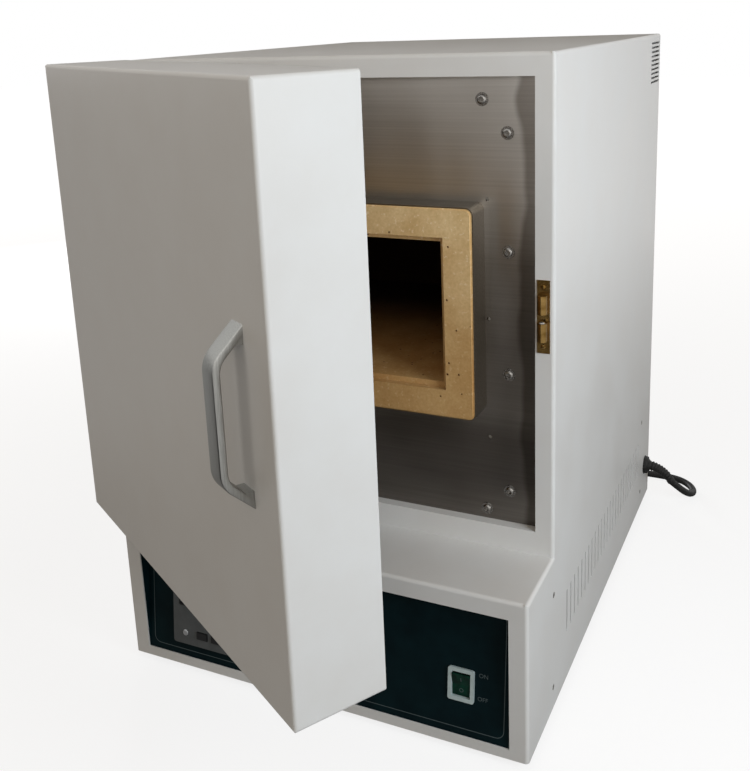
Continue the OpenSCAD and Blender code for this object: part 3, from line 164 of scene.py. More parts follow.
def ranged(tree, source, start, end, low=0.0, high=1.0, **settings):
    """Maps start and end of a value to low and high; source is (node, output)."""
    return add(tree, "ShaderNodeMapRange", {"Value": source, "From Min": start, "From Max": end,
                                            "To Min": low, "To Max": high}, **settings)


def varied(tree, shader, noise, low, high):
    """Lets the roughness run between two values with a noise."""
    reach = ranged(tree, (noise, "Fac"), 0.3, 0.7, low, high)
    tree.links.new(reach.outputs["Result"], shader.inputs["Roughness"])


def paint(node, finish):
    """Gives a node of the construction model its finish."""
    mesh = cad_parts[node].data
    mesh.materials.clear()
    mesh.materials.append(finish)


cord_thick = 0.009
cord_route = [
    (256, 260, 36), (264, 264, 28), (271, 269, 20), (278, 281, 11), (281, 297, 6), (278, 312, 4.5),
    (269, 325, 4.5), (256, 334, 4.5), (241, 337, 4.5), (220, 337.5, 4.5), (200, 337.5, 4.5),
    (180, 337.5, 4.5), (160, 337.5, 4.5), (140, 337.5, 4.5), (118, 337.5, 4.5), (92.5, 337.5, 4.5)]
coil_low, coil_high = (Vector(c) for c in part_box("cord_coil"))
coil_middle = (coil_low + coil_high) / 2
coil_outer = (coil_high.x - coil_low.x) / 2 - cord_thick / 2

# Sheathed rubber is matt and near black, with a faint grain left by the extruder and paler dust.
cord_rubber, tree, shader = material("cord_rubber", "#161616", 0.55, Specular_IOR_Level=0.35)
grained(tree, shader, 0.6, 0.03)
dust = noise_of(tree, 14, 3)
mottled(tree, shader, dust, ("#121212", "#1E1D1C"))
varied(tree, shader, dust, 0.48, 0.66)

path = [Vector(p) / 1000 for p in cord_route]
turn_steps = 24
steps_short = 5                                     # by which the last turn stays open
climb_from = 0.75                                   # share of a turn after which it changes its layer
layers = [(0, 0), (1, 0), (1, 1), (0, 1)]           # (how far in, how high) of each turn
for k in range(len(layers) * turn_steps - steps_short):
    turn, part = divmod(k, turn_steps)
    part /= turn_steps
    here, after = layers[turn], layers[min(turn + 1, len(layers) - 1)]
    ease = max(0.0, (part - climb_from) / (1 - climb_from))
    inward = here[0] + (after[0] - here[0]) * ease
    height = here[1] + (after[1] - here[1]) * ease
    angle = -math.pi / 2 - 2 * math.pi * k / turn_steps
    radius = coil_outer - inward * cord_thick
    path.append(Vector((coil_middle.x + radius * math.cos(angle), coil_middle.y + radius * math.sin(angle),
                        cord_thick * (0.5 + height))))
plug_low, plug_high = (Vector(c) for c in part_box("plug_body"))
plug_end = Vector((plug_high.x, (plug_low.y + plug_high.y) / 2, (plug_low.z + plug_high.z) / 2))
plug_run = ((0.036, 0.012, -0.012), (0.026, 0.003, -0.004), (0.014, 0, 0), (0, 0, 0))
path += [plug_end + Vector(back) for back in plug_run]

curve = bpy.data.curves.new("supply_cord", "CURVE")
curve.dimensions = "3D"
curve.bevel_depth = cord_thick / 2
curve.bevel_resolution = 5
curve.resolution_u = 4
spline = curve.splines.new("NURBS")
spline.points.add(len(path) - 1)
for point, place in zip(spline.points, path):
    point.co = (*place, 1)
spline.order_u = 4
spline.use_endpoint_u = True
supply_cord = stand("supply_cord", curve)
curve.materials.append(cord_rubber)


# The plug: a rewirable block of black rubber with rounded edges and grip ridges round its neck.
# The cord goes in at its narrow end and two round brass pins stand out of its broad face.
def finished(form, name, finish, body, sharp=35):
    """Makes a piece of a bmesh: closed, its faces outwards and smoothed up to that angle."""
    bmesh.ops.remove_doubles(form, verts=form.verts, dist=1e-6)
    bmesh.ops.recalc_face_normals(form, faces=form.faces)
    mesh = bpy.data.meshes.new(name)
    form.to_mesh(mesh)
    form.free()
    mesh.shade_smooth()
    mesh.set_sharp_from_angle(angle=math.radians(sharp))
    mesh.materials.append(finish)
    piece = stand(name, mesh)
    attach(piece, body)
    return piece


def plate(form, width, height, corner, steps=5):
    """A flat face across X and Y at the origin, with rounded corners."""
    others = set(form.faces)
    made = bmesh.ops.create_grid(form, x_segments=1, y_segments=1, size=0.5)["verts"]
    bmesh.ops.scale(form, verts=made, vec=(width, height, 1))
    bmesh.ops.bevel(form, geom=made, offset=corner, segments=steps, profile=0.5, affect="VERTICES",
                    material=-1)
    return next(f for f in form.faces if f not in others)


def newer(form, count):
    """The vertices made since there were that many."""
    form.verts.ensure_lookup_table()
    return form.verts[count:]


def drawn(form, face, steps):
    """Draws a face out along Z by steps of (advance, scale)."""
    for advance, scale in steps:
        made = bmesh.ops.extrude_face_region(form, geom=[face])["geom"]
        face = next(g for g in made if isinstance(g, bmesh.types.BMFace))
        bmesh.ops.translate(form, verts=face.verts, vec=(0, 0, advance))
        middle = face.calc_center_median()
        bmesh.ops.scale(form, verts=face.verts, vec=(scale, scale, 1), space=Matrix.Translation(-middle))


def softened(form, width, segments=2, angle=30):
    """Rounds every edge that turns by more than the angle."""
    edges = [e for e in form.edges if e.is_manifold and e.calc_face_angle() > math.radians(angle)]
    bmesh.ops.bevel(form, geom=edges, offset=width, segments=segments, profile=0.5, affect="EDGES",
                    material=-1, clamp_overlap=True)


plug_wide = plug_high.y - plug_low.y
plug_long = plug_high.x - plug_low.x
ridges = [(0.0022, 0.93), (0.0016, 1.075)] * 3
plug_steps = [(0.012, 1.0), (0.006, 0.86)] + ridges + [(0.004, 0.86)]
plug_steps.append((plug_long - sum(advance for advance, scale in plug_steps), 0.82))
plug_corner, plug_soft = 0.006, 0.0008
form = bmesh.new()
drawn(form, plate(form, plug_wide, plug_wide, plug_corner), plug_steps)
softened(form, plug_soft)
bmesh.ops.transform(form, verts=form.verts, matrix=Matrix.Translation(
    (plug_low.x, plug_end.y, plug_end.z)) @ Matrix.Rotation(math.pi / 2, 4, "Y"))
plug = finished(form, "plug", cord_rubber, "case")
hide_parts("plug_body")

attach(supply_cord, "case")
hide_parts("power_cord", "cord_coil")

# The cord's gland and boot: a hexagonal black nut on the side sheet, and a moulded rubber sleeve
# with ribs that bends down with the cord and thins towards its end.
gland_at = Vector((0.220, 0.254, 0.058))
sleeve_bend = Vector((0.2455, 0.254, 0.0575))
sleeve_start, sleeve_end = gland_at + Vector((0.004, 0, 0)), path[0]
sleeve_r, sleeve_taper, groove = 7.0, 1.7, 0.86     # millimetres, and a groove's share of the radius
sleeve = bpy.data.curves.new("cord_boot", "CURVE")
sleeve.dimensions = "3D"
sleeve.bevel_depth = 0.001
sleeve.bevel_resolution = 7
sleeve.use_fill_caps = True
spline = sleeve.splines.new("POLY")
rib_count = 11
spline.points.add(4 * rib_count - 1)
for i, point in enumerate(spline.points):
    t = i / (len(spline.points) - 1)
    point.co = (*((1 - t) ** 2 * sleeve_start + 2 * t * (1 - t) * sleeve_bend + t * t * sleeve_end), 1)
    grooved = i % 4 in (1, 2) and 3 < i < len(spline.points) - 3
    point.radius = (sleeve_r - sleeve_taper * t) * (groove if grooved else 1)


def form_of(curve):
    """A bmesh of the solid that a curve or a text makes."""
    shape = stand("shape", curve)
    graph = bpy.context.evaluated_depsgraph_get()
    mesh = bpy.data.meshes.new_from_object(shape.evaluated_get(graph))
    form = bmesh.new()
    form.from_mesh(mesh)
    bpy.data.objects.remove(shape)
    bpy.data.meshes.remove(mesh)
    return form


def lathed(form, outline, matrix=Matrix(), steps=32):
    """Turns an outline of (radius, height) in millimetres about Z and moves it by the matrix."""
    before = len(form.verts)
    ring = [form.verts.new((r / 1000, 0, h / 1000)) for r, h in outline]
    edges = [form.edges.new(pair) for pair in zip(ring, ring[1:])]
    bmesh.ops.spin(form, geom=ring + edges, cent=(0, 0, 0), axis=(0, 0, 1), angle=2 * math.pi,
                   steps=steps, use_merge=True)
    bmesh.ops.transform(form, verts=newer(form, before), matrix=matrix)


def facing(direction, place):
    """A matrix that turns Z to a direction at a place."""
    return Matrix.Translation(place) @ Vector(direction).to_track_quat("Z", "Y").to_matrix().to_4x4()


form = form_of(sleeve)
gland_turn = facing((1, 0, 0), gland_at)
lathed(form, [(0, 0), (12.3, 0), (12.5, 0.4), (12.3, 1.0), (11.6, 1.2), (0, 1.2)], gland_turn)
lathed(form, [(11.4, 1.2), (11.4, 4.6), (10.6, 5.4), (8.2, 5.6), (8.0, 7.0), (6.6, 7.2)], gland_turn, steps=6)
boot = finished(form, "cord_boot", cord_rubber, "case", 50)
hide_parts("cable_boot")

# The case: folded sheets of mild steel with a light grey powder coat, baked on. The coat flowed a
# little before it set, which leaves a soft gloss and a fine orange peel; the sheets bow very slightly.
case_grey, tree, shader = material("powder_coat", "#DCDCDA", 0.38, Coat_Weight=0.10, Coat_Roughness=0.16)
bowed = noise_of(tree, 260, 1)
bow = bumped(tree, (bowed, "Fac"), 3.5)
grained(tree, shader, 2.2, 0.010, over=bow)
tree.links.new(bow.outputs["Normal"], shader.inputs["Coat Normal"])
handled = noise_of(tree, 60, 4)
mottled(tree, shader, handled, ("#DAD9D6", "#DDDDDB"))
varied(tree, shader, handled, 0.33, 0.41)
for name in ("left_side_panel", "right_side_panel", "top_cover", "rear_cover", "front_frame",
             "control_box_front", "door_shell"):
    paint(name, case_grey)

# Floor, deck and inner casing: bare zinc-plated sheet, folded and screwed, dull with a faint spangle.
zinc_sheet, tree, shader = material("zinc_plate", "#A9ACAE", 0.45, 1.0)
noise = grained(tree, shader, 9, 0.01)
mottled(tree, shader, noise, ("#9A9DA0", "#B4B7B9"))
varied(tree, shader, noise, 0.38, 0.55)
for name in ("base_plate", "deck_plate", "inner_casing"):
    paint(name, zinc_sheet)

# Screws and pins: steel with a bright zinc plate, faintly scuffed where the driver has turned them.
plated_steel, tree, shader = material("plated_steel", "#B2AFA9", 0.26, 1.0)
noise = grained(tree, shader, 0.8, 0.012)
mottled(tree, shader, noise, ("#9C9892", "#BFBCB7"))
varied(tree, shader, noise, 0.2, 0.38)
for name in ("case_screws", "foot_screws", "hinge_frame_screws", "hinge_door_screws", "handle_screws",
             "catch_ball_upper", "catch_ball_lower", "catch_spring_upper", "catch_spring_lower"):
    paint(name, plated_steel)

# Feet: turned black rubber, screwed up into the floor of the case, greyed by dust at the rim.
foot_rubber, tree, shader = material("foot_rubber", "#1B1B1B", 0.7, Specular_IOR_Level=0.3)
grained(tree, shader, 0.8, 0.05)
mottled(tree, shader, noise_of(tree, 12, 3), ("#171717", "#262523"))
paint("rubber_feet", foot_rubber)

# The panel across the mouth, the collar and the door's tray: rolled stainless sheet with its mill
# grain lying across. It bows a little between its bolts. The heat has dulled it. Painted dark reflections
# and shade darken the panel low down and in a wavy band near its right edge; the collar is darker too.
def rolled_stainless(name, colour, lighter, darker):
    """Stainless sheet from the mill, between two hex colours; also gives its tree, shader and colours."""
    made, tree, shader = material(name, colour, 0.3, 1.0)
    streaks = noise_of(tree, 1.4, 3, stretch=(0.006, 1, 1))
    ripples = noise_of(tree, 120, 1, stretch=(1.6, 1, 0.6))
    ripple = bumped(tree, (ripples, "Fac"), 6)
    rolled = bumped(tree, (streaks, "Fac"), 0.012, strength=0.5, over=ripple)
    tree.links.new(rolled.outputs["Normal"], shader.inputs["Normal"])
    colours = mottled(tree, shader, streaks, (darker, lighter), (0.3, 0.7))
    varied(tree, shader, ripples, 0.28, 0.37)
    return made, tree, shader, colours


def multiplied(tree, under, over):
    """One colour times another; both are (node, output)."""
    return add(tree, "ShaderNodeMix", {0: 1.0, 6: under, 7: over}, data_type="RGBA", blend_type="MULTIPLY")


panel_steel, tree, shader, colours = rolled_stainless("rolled_stainless", "#C2BEB9", "#C8C4BF", "#BCB8B3")
place = add(tree, "ShaderNodeTexCoord")
uneven = noise_of(tree, 90, 2)
apart = add(tree, "ShaderNodeSeparateXYZ", {"Vector": (place, "Object")})
height = add(tree, "ShaderNodeMath", {0: (uneven, "Fac"), 1: 0.035, 2: (apart, "Z")},
             operation="MULTIPLY_ADD")
reflection_low, reflection_high = 0.2175, 0.6175                # heights between which the painted dark reflection and shade change
reflection_stops = (0.0, 0.09, 0.20, 0.26, 0.45, 0.62, 0.78, 1.0)
painted_reflection_tones = ("#A9A6A3", "#8E8A87", "#8B8784", "#B0ADAA", "#9C9894", "#B4B1AD", "#F6F5F4", "#FFFFFF")
# Painted dark reflection and shade: the sheet's colour is darker low down, in wavy bands.
reach = ranged(tree, (height, "Value"), reflection_low, reflection_high)
reflection_tones = ramped(tree, (reach, "Result"), painted_reflection_tones, reflection_stops)
reflection_toned = multiplied(tree, (colours, "Color"), (reflection_tones, "Color"))
across = add(tree, "ShaderNodeMath", {0: (uneven, "Fac"), 1: 0.03, 2: (apart, "X")},
             operation="MULTIPLY_ADD")
edge_from, edge_to = 0.199, 0.206                   # places along X between which the painted dark reflection at the right edge sets in
# Painted dark reflection: a wavy darker band near the panel's right edge.
edge = ranged(tree, (across, "Value"), edge_from, edge_to, interpolation_type="SMOOTHSTEP")
painted_edge_reflection = ramped(tree, (edge, "Result"), ("#FFFFFF", "#BAB6B2"), (0.0, 1.0))
edge_reflected = multiplied(tree, (reflection_toned, 2), (painted_edge_reflection, "Color"))
tree.links.new(edge_reflected.outputs[2], shader.inputs["Base Color"])
paint("chamber_front_panel", panel_steel)
paint("door_liner", rolled_stainless("door_stainless", "#B2AEA8", "#BAB6B1", "#AAA6A0")[0])
# The collar's dark brown colours are a painted dark reflection.
paint("muffle_collar", rolled_stainless("stainless_painted_dark", "#7D7568", "#877F72", "#736B5E")[0])

# The panel's bolts: button heads with a hexagon socket, each on a flat washer, turned from steel
# and plated. Four stand up each side, and three run along the top and along the foot.
panel_front = -0.194
side_bolt_x, side_bolt_z = 0.1745, (0.225, 0.34196, 0.4579, 0.564)
row_bolt_x, row_bolt_z = (-0.1515, 0, 0.1515), (0.203, 0.593)
bolt_places = [(s * side_bolt_x, z) for s in (-1, 1) for z in side_bolt_z] + \
    [(x, z) for x in row_bolt_x for z in row_bolt_z]


def verts_in(geom):
    """The vertices among mixed elements."""
    return [g for g in geom if isinstance(g, bmesh.types.BMVert)]


def socket_bolt(form, matrix, head=4.4, rise=2.3, washer=6.1, socket=2.1, shank=2.4, length=7):
    """A button-headed bolt with a hexagon socket and a washer; sizes in millimetres."""
    before = len(form.verts)
    lathed(form, [(shank, -length), (shank, 0.05), (washer - 0.3, 0.05), (washer, 0.3), (washer - 0.3, 0.8),
                  (head + 0.1, 0.8), (head, 1.1)] + [
                  (head * math.cos(a), 1.1 + (rise - 0.4) * math.sin(a)) for a in (0.35, 0.7, 1.0)] +
           [(2.6, 0.75 + rise)], steps=24)
    lip = {e for v in newer(form, before) for e in v.link_edges if e.is_boundary and v.co.z > 0.001}
    bore = bmesh.ops.create_circle(form, cap_ends=False, radius=socket / 1000, segments=6,
                                   matrix=Matrix.Translation((0, 0, (0.7 + rise) / 1000)))["verts"]
    hexagon = {e for v in bore for e in v.link_edges}
    bmesh.ops.bridge_loops(form, edges=list(lip | hexagon))
    deep = bmesh.ops.extrude_edge_only(form, edges=list(hexagon))["geom"]
    bmesh.ops.translate(form, verts=verts_in(deep), vec=(0, 0, -0.0019))
    bmesh.ops.holes_fill(form, edges=list({e for v in newer(form, before) for e in v.link_edges}))
    bmesh.ops.transform(form, verts=newer(form, before), matrix=matrix)


bolt_steel, tree, shader = material("bolt_steel", "#8F8C88", 0.27, 1.0)
noise = grained(tree, shader, 0.8, 0.01)
mottled(tree, shader, noise, ("#7E7B77", "#9D9A96"))
varied(tree, shader, noise, 0.2, 0.36)
form = bmesh.new()
for i, (x, z) in enumerate(bolt_places):
    socket_bolt(form, facing((0, -1, 0), (x, panel_front, z)) @ Matrix.Rotation(0.7 * i, 4, "Z"))
bolts = finished(form, "panel_bolts_with_washers", bolt_steel, "case", 40)
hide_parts("panel_bolts")

# The muffle and the door's plug: tan refractory, cast with grog in it, fired and rubbed flat. It
# has small pits and paler flecks; painted shade darkens the pits, the lower part and, to near black, the
# chamber's inside.
refractory, tree, shader = material("fired_refractory", "#BC9A69", 0.88, Specular_IOR_Level=0.25)
grog = noise_of(tree, 2.4, 5)
grog_bump = bumped(tree, (grog, "Fac"), 0.12)
pit_apart, pit_floor = 13, 0.05                     # millimetres between pits, and the share a floor takes
cells = add(tree, "ShaderNodeTexVoronoi", {"Vector": (add(tree, "ShaderNodeTexCoord"), "Object"),
                                           "Scale": 1000 / pit_apart, "Randomness": 1.0})
pits = ranged(tree, (cells, "Distance"), pit_floor, 2 * pit_floor)
pit_bump = bumped(tree, (pits, "Result"), 0.6, over=grog_bump)
tree.links.new(pit_bump.outputs["Normal"], shader.inputs["Normal"])


def blended(tree, factor, under, over):
    """Goes from one colour to another by a factor; factor and under are (node, output)."""
    return add(tree, "ShaderNodeMix", {0: factor, 6: under, 7: linear(over)},
               data_type="RGBA", blend_type="MIX")


cast_tan = ramped(tree, (grog, "Fac"), ("#DFC18D", "#EDD1A0"), (0.3, 0.7))
stains = ramped(tree, (noise_of(tree, 45, 4), "Fac"), ("#EBE2D4", "#FFFFFF"), (0.35, 0.6))
stained = multiplied(tree, (cast_tan, "Color"), (stains, "Color"))
flecks = ranged(tree, (noise_of(tree, 4.5, 3), "Fac"), 0.60, 0.66, high=0.45)
flecked = blended(tree, (flecks, "Result"), (stained, 2), "#FBE9C6")
along = add(tree, "ShaderNodeSeparateXYZ", {"Vector": (add(tree, "ShaderNodeTexCoord"), "Object")})
shade_from_z, shade_to_z = 0.35, 0.49                        # heights between which the painted shade fades
# Painted shade: the lower part of the muffle is darker.
low_shade_reach = ranged(tree, (along, "Z"), shade_from_z, shade_to_z)
painted_low_shade = ramped(tree, (low_shade_reach, "Result"), ("#D8C9B5", "#FFFFFF"), (0.0, 1.0))
low_shaded = multiplied(tree, (flecked, 2), (painted_low_shade, "Color"))
# The pits are darkened with painted shade.
painted_pit_shade = ramped(tree, (pits, "Result"), ("#6F5230", "#FFFFFF"), (0.0, 1.0))
pit_shaded = multiplied(tree, (low_shaded, 2), (painted_pit_shade, "Color"))
mouth_y, deep_y = -0.185, 0.05                      # depths between which the painted shade deepens
inside = ranged(tree, (along, "Y"), mouth_y, deep_y, interpolation_type="SMOOTHSTEP")
# Painted shade: the chamber darkens to near black towards its back.
chamber_shaded = blended(tree, (inside, "Result"), (pit_shaded, 2), "#1C0F07")
tree.links.new(chamber_shaded.outputs[2], shader.inputs["Base Color"])
for name in ("muffle", "door_plug"):
    paint(name, refractory)

# The insulation in the casing and the door: pressed white ceramic fibre, soft, matt and slightly
# fluffy, cut into boards and packed round the muffle.
fibre, tree, shader = material("fibre_board", "#E6E3DB", 0.95, Sheen_Weight=0.2, Sheen_Roughness=0.6)
noise = grained(tree, shader, 1.5, 0.3, 4.0)
mottled(tree, shader, noise, ("#DDD9CF", "#ECEAE4"))
for name in ("insulation_boards", "insulation_rear", "door_insulation"):
    paint(name, fibre)

# The heating ribbon wound round the muffle and its lead rods: resistance alloy under a dull
# brown-grey oxide that varies from turn to turn.
ribbon_alloy, tree, shader = material("oxidised_alloy", "#4B443E", 0.6, 0.8)
noise = grained(tree, shader, 2.0, 0.02)
mottled(tree, shader, noise, ("#3F3934", "#5A5049"))
varied(tree, shader, noise, 0.5, 0.72)
for name in ("heating_coil", "coil_leads"):
    paint(name, ribbon_alloy)

# The bushings round the leads, the thermocouple's sheath and the terminal block: white porcelain,
# glazed all over, with a slight warm unevenness.
porcelain, tree, shader = material("glazed_porcelain", "#E2DCCE", 0.25, Coat_Weight=0.4, Coat_Roughness=0.1)
noise = grained(tree, shader, 4, 0.02)
mottled(tree, shader, noise, ("#DBD4C4", "#E8E3D8"))
for name in ("lead_bushings", "thermocouple", "terminal_block"):
    paint(name, porcelain)

# The thermocouple's head and the heat sink: aluminium, one cast and one extruded, dull silver.
cast_aluminium, tree, shader = material("cast_aluminium", "#B4B5B7", 0.42, 1.0)
noise = grained(tree, shader, 1.2, 0.02)
mottled(tree, shader, noise, ("#A7A8AA", "#BFC0C2"))
varied(tree, shader, noise, 0.36, 0.5)
for name in ("thermocouple_head", "heat_sink"):
    paint(name, cast_aluminium)

# The control panel: a steel plate under a printed film, green-black and nearly matt, with a thin
# silver line near its edge and the two words beside the switch in the same dim silver.
film, tree, shader = material("printed_film", "#06181C", 0.42, Specular_IOR_Level=0.08)
grained(tree, shader, 0.7, 0.006)
mottled(tree, shader, noise_of(tree, 25, 2), ("#05161A", "#081D21"))
paint("control_panel", film)
silver_ink, tree, shader = material("silver_ink", "#4F5B5D", 0.5, 0.35)
noise = grained(tree, shader, 0.5, 0.004)
mottled(tree, shader, noise, ("#465153", "#596667"))

lean = math.radians(-6.5)
panel_foot = (0, -0.2837, 0.018)                    # middle of the visible face's lower edge
panel_face = Matrix.Translation(panel_foot) @ Matrix.Rotation(lean, 4, "X")
panel_wide, panel_tall = 0.404, 0.13386
line_in, line_wide, line_corner, ink = 0.006, 0.0007, 0.008, 0.00008
upright_face = Matrix.Rotation(math.pi / 2, 4, "X")     # turns Z to -Y, so that a plate faces the front


def on_panel(x, out, z):
    """A matrix that turns a plate to the front at a place on the leaning panel."""
    return panel_face @ Matrix.Translation((x, -out, z)) @ upright_face


def framed(form, width, height, corner, steps, band, thick):
    """A flat frame round an opening, as wide as the band."""
    face = plate(form, width, height, corner, steps)
    bmesh.ops.inset_region(form, faces=[face], thickness=band, use_boundary=True, use_even_offset=True)
    bmesh.ops.delete(form, geom=[face], context="FACES")
    bmesh.ops.solidify(form, geom=list(form.faces), thickness=thick)


form = bmesh.new()
framed(form, panel_wide - 2 * line_in, panel_tall - 2 * line_in, line_corner, 6, line_wide, ink)
bmesh.ops.transform(form, verts=form.verts, matrix=on_panel(0, ink, panel_tall / 2))
finished(form, "panel_line", silver_ink, "case")

word_height = 0.0058
for word, x, z in (("ON", 0.1752, 0.0626), ("OFF", 0.1748, 0.0397)):
    lettering = bpy.data.curves.new("switch_" + word.lower(), "FONT")
    lettering.body = word
    lettering.size = word_height
    lettering.align_x, lettering.align_y = "CENTER", "CENTER"
    lettering.extrude = ink / 2
    form = form_of(lettering)
    bmesh.ops.transform(form, verts=form.verts, matrix=on_panel(x, ink, z))
    finished(form, "word_" + word.lower(), silver_ink, "case")

# The temperature controller: a fine-grained dark grey moulding with a smoked window, a round
# silver key and three black ones. Under the window stand its unlit figures.
moulded_grey, tree, shader = material("moulded_grey", "#525556", 0.5, Specular_IOR_Level=0.3)
grained(tree, shader, 0.5, 0.03)
mottled(tree, shader, noise_of(tree, 18, 2), ("#4E5152", "#575A5B"))
paint("temperature_controller", moulded_grey)
lens, tree, shader = material("smoked_lens", "#08090B", 0.12, Specular_IOR_Level=0.4)
grained(tree, shader, 30, 0.01)
varied(tree, shader, noise_of(tree, 15, 3), 0.08, 0.17)
paint("controller_display", lens)
silver_key, tree, shader = material("silver_key", "#B9BBBC", 0.3, 0.8)
noise = grained(tree, shader, 0.5, 0.008)
varied(tree, shader, noise, 0.25, 0.38)
paint("key_menu", silver_key)
black_key, tree, shader = material("black_key", "#141415", 0.45)
grained(tree, shader, 0.5, 0.02)
varied(tree, shader, noise_of(tree, 6, 2), 0.38, 0.52)
for name in ("key_shift", "key_down", "key_up"):
    paint(name, black_key)

unlit, tree, shader = material("unlit_segments", "#1D1E20", 0.3)
grained(tree, shader, 0.6, 0.004)
controller_x, controller_foot = -0.119, 0.016       # its middle and its foot on the panel's face
figure_tall, figure_wide, bar = 0.0105, 0.0058, 0.0011
figure_step, row_step, figures_up = 0.0105, 0.0145, 0.061
figure_slant, figure_out = 0.1, 0.00506
form = bmesh.new()
for row, column in ((r, c) for r in range(2) for c in range(4)):
    at_x = controller_x + (column - 1.5) * figure_step
    at_z = controller_foot + figures_up + (0.5 - row) * row_step
    level_bars = [(0, dz, figure_wide - bar, bar) for dz in (-figure_tall / 2, 0, figure_tall / 2)]
    upright_bars = [(sx * figure_wide / 2, sz * figure_tall / 4, bar, figure_tall / 2 - bar)
                    for sx in (-1, 1) for sz in (-1, 1)]
    for x, z, wide, tall in level_bars + upright_bars:
        made = bmesh.ops.create_grid(form, x_segments=1, y_segments=1, size=0.5)["verts"]
        bmesh.ops.scale(form, verts=made, vec=(wide, tall, 1))
        bmesh.ops.transform(form, verts=made, matrix=on_panel(
            at_x + x + figure_slant * z, figure_out, at_z + z))
finished(form, "controller_figures", unlit, "case")

window_wide, window_tall, window_up = 0.078, 0.034, 0.044
rim_wide, rim_thick, rim_soft, rim_out = 0.0015, 0.0005, 0.00015, 0.0055
form = bmesh.new()
framed(form, window_wide + 2 * rim_wide, window_tall + 2 * rim_wide, rim_wide, 4, rim_wide, rim_thick)
softened(form, rim_soft)
bmesh.ops.transform(form, verts=form.verts, matrix=on_panel(
    controller_x, rim_out, controller_foot + window_up + window_tall / 2))
finished(form, "window_rim", black_key, "case")

# The power switch: a pale grey nylon bezel that snaps into the panel, and a rocker of clear dark
# green plastic that tips on two pins. A stroke marks its upper half and a ring its lower half.
pale_plastic, tree, shader = material("pale_plastic", "#B4C3C2", 0.42)
grained(tree, shader, 0.5, 0.015)
mottled(tree, shader, noise_of(tree, 9, 2), ("#AEBDBC", "#BAC8C7"))
for name in ("power_switch_bezel", "solid_state_relay"):
    paint(name, pale_plastic)
green_rocker, tree, shader = material("green_rocker", "#082E22", 0.25, Specular_IOR_Level=0.1,
                                      Coat_Weight=0.05, Coat_Roughness=0.1)
grained(tree, shader, 12, 0.02)
mottled(tree, shader, noise_of(tree, 8, 2), ("#06231A", "#0C3A2C"))
paint("power_switch_rocker", green_rocker)

rocker_pivot, rocker_tip = (0.154, 0.003, 0.050), math.radians(10)
rocker_face = panel_face @ Matrix.Translation(rocker_pivot) @ Matrix.Rotation(rocker_tip, 4, "X")
slope, rocker_half, rocker_out = math.radians(6.1), 0.00565, 0.00405
stroke_wide, stroke_tall, stroke_corner = 0.0008, 0.0040, 0.0002
form = bmesh.new()
plate(form, stroke_wide, stroke_tall, stroke_corner, 2)
bmesh.ops.solidify(form, geom=list(form.faces), thickness=ink)
bmesh.ops.transform(form, verts=form.verts, matrix=rocker_face @ Matrix.Translation(
    (0, -rocker_out, rocker_half)) @ Matrix.Rotation(slope, 4, "X") @ upright_face)
finished(form, "mark_on", silver_ink, "power_switch_rocker")
form = bmesh.new()
lathed(form, [(1.45, 0), (2.05, 0), (2.05, 0.08), (1.45, 0.08), (1.45, 0)], rocker_face @ Matrix.Translation(
    (0, -rocker_out, -rocker_half)) @ Matrix.Rotation(-slope, 4, "X") @ upright_face)
finished(form, "mark_off", silver_ink, "power_switch_rocker")

# The catch on the frame, its strike on the door and the plug's pins: drawn brass, handled and
# tarnished to a dull brown in patches, with brighter metal where it rubs.
satin_brass, tree, shader = material("worn_brass", "#96783F", 0.3, 1.0)
grained(tree, shader, 0.8, 0.012)
tarnish = noise_of(tree, 7, 2)
mottled(tree, shader, tarnish, ("#75592B", "#A18350"), (0.3, 0.7))
varied(tree, shader, tarnish, 0.26, 0.14)
for name in ("catch_housing", "catch_strike", "earth_stud", "plug_pins"):
    paint(name, satin_brass)

# The catch's screws: brass pan heads with a sawn slot, one at each end of the plate.
catch_x, catch_front, catch_z, catch_half = 0.2098, -0.2052, 0.404, 0.0275
slot_half, slot_deep = 0.00035, 0.0006
form = bmesh.new()
for i, side in enumerate((-1, 1)):
    before = len(form.verts)
    lathed(form, [(0, -6), (1.2, -6), (1.2, 0), (2.4, 0), (2.35, 0.5), (2.0, 1.0), (1.3, 1.25),
                  (0, 1.35)], steps=24)
    for cut in (-slot_half, slot_half):
        mine = newer(form, before)
        mine += list({e for v in mine for e in v.link_edges}) + list({f for v in mine for f in v.link_faces})
        bmesh.ops.bisect_plane(form, geom=mine, plane_co=(0, cut, 0), plane_no=(0, 1, 0), dist=1e-7)
    middles = [(f, f.calc_center_median()) for f in {f for v in newer(form, before) for f in v.link_faces}]
    sawn = bmesh.ops.extrude_face_region(
        form, geom=[f for f, c in middles if c.z > 0.0004 and abs(c.y) < slot_half - 0.00001])["geom"]
    bmesh.ops.translate(form, verts=verts_in(sawn), vec=(0, 0, -slot_deep))
    bmesh.ops.transform(form, verts=newer(form, before), matrix=facing(
        (0, -1, 0), (catch_x, catch_front, catch_z + side * catch_half)) @ Matrix.Rotation(0.5 + i, 4, "Z"))
catch_screws = finished(form, "slotted_catch_screws", satin_brass, "case")
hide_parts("catch_screws")

# The springs behind the catch's balls each get a mesh of their own.
for name, closed_end in (("upper", 0.423), ("lower", 0.385)):
    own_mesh(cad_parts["catch_spring_" + name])

# The hinges: rolled steel leaves and pins, plated and brushed, one leaf of each screwed to the
# frame's side and one to the door.
hinge_plate, tree, shader = material("satin_steel", "#A8A8A6", 0.35, 1.0)
grained(tree, shader, 1.0, 0.01)
brushed = noise_of(tree, 0.6, 2, stretch=(1, 1, 0.03))
mottled(tree, shader, brushed, ("#9A9A98", "#B4B4B2"))
varied(tree, shader, brushed, 0.28, 0.42)
for name in ("hinge_frame_leaves", "hinge_door_leaves", "hinge_pins"):
    paint(name, hinge_plate)

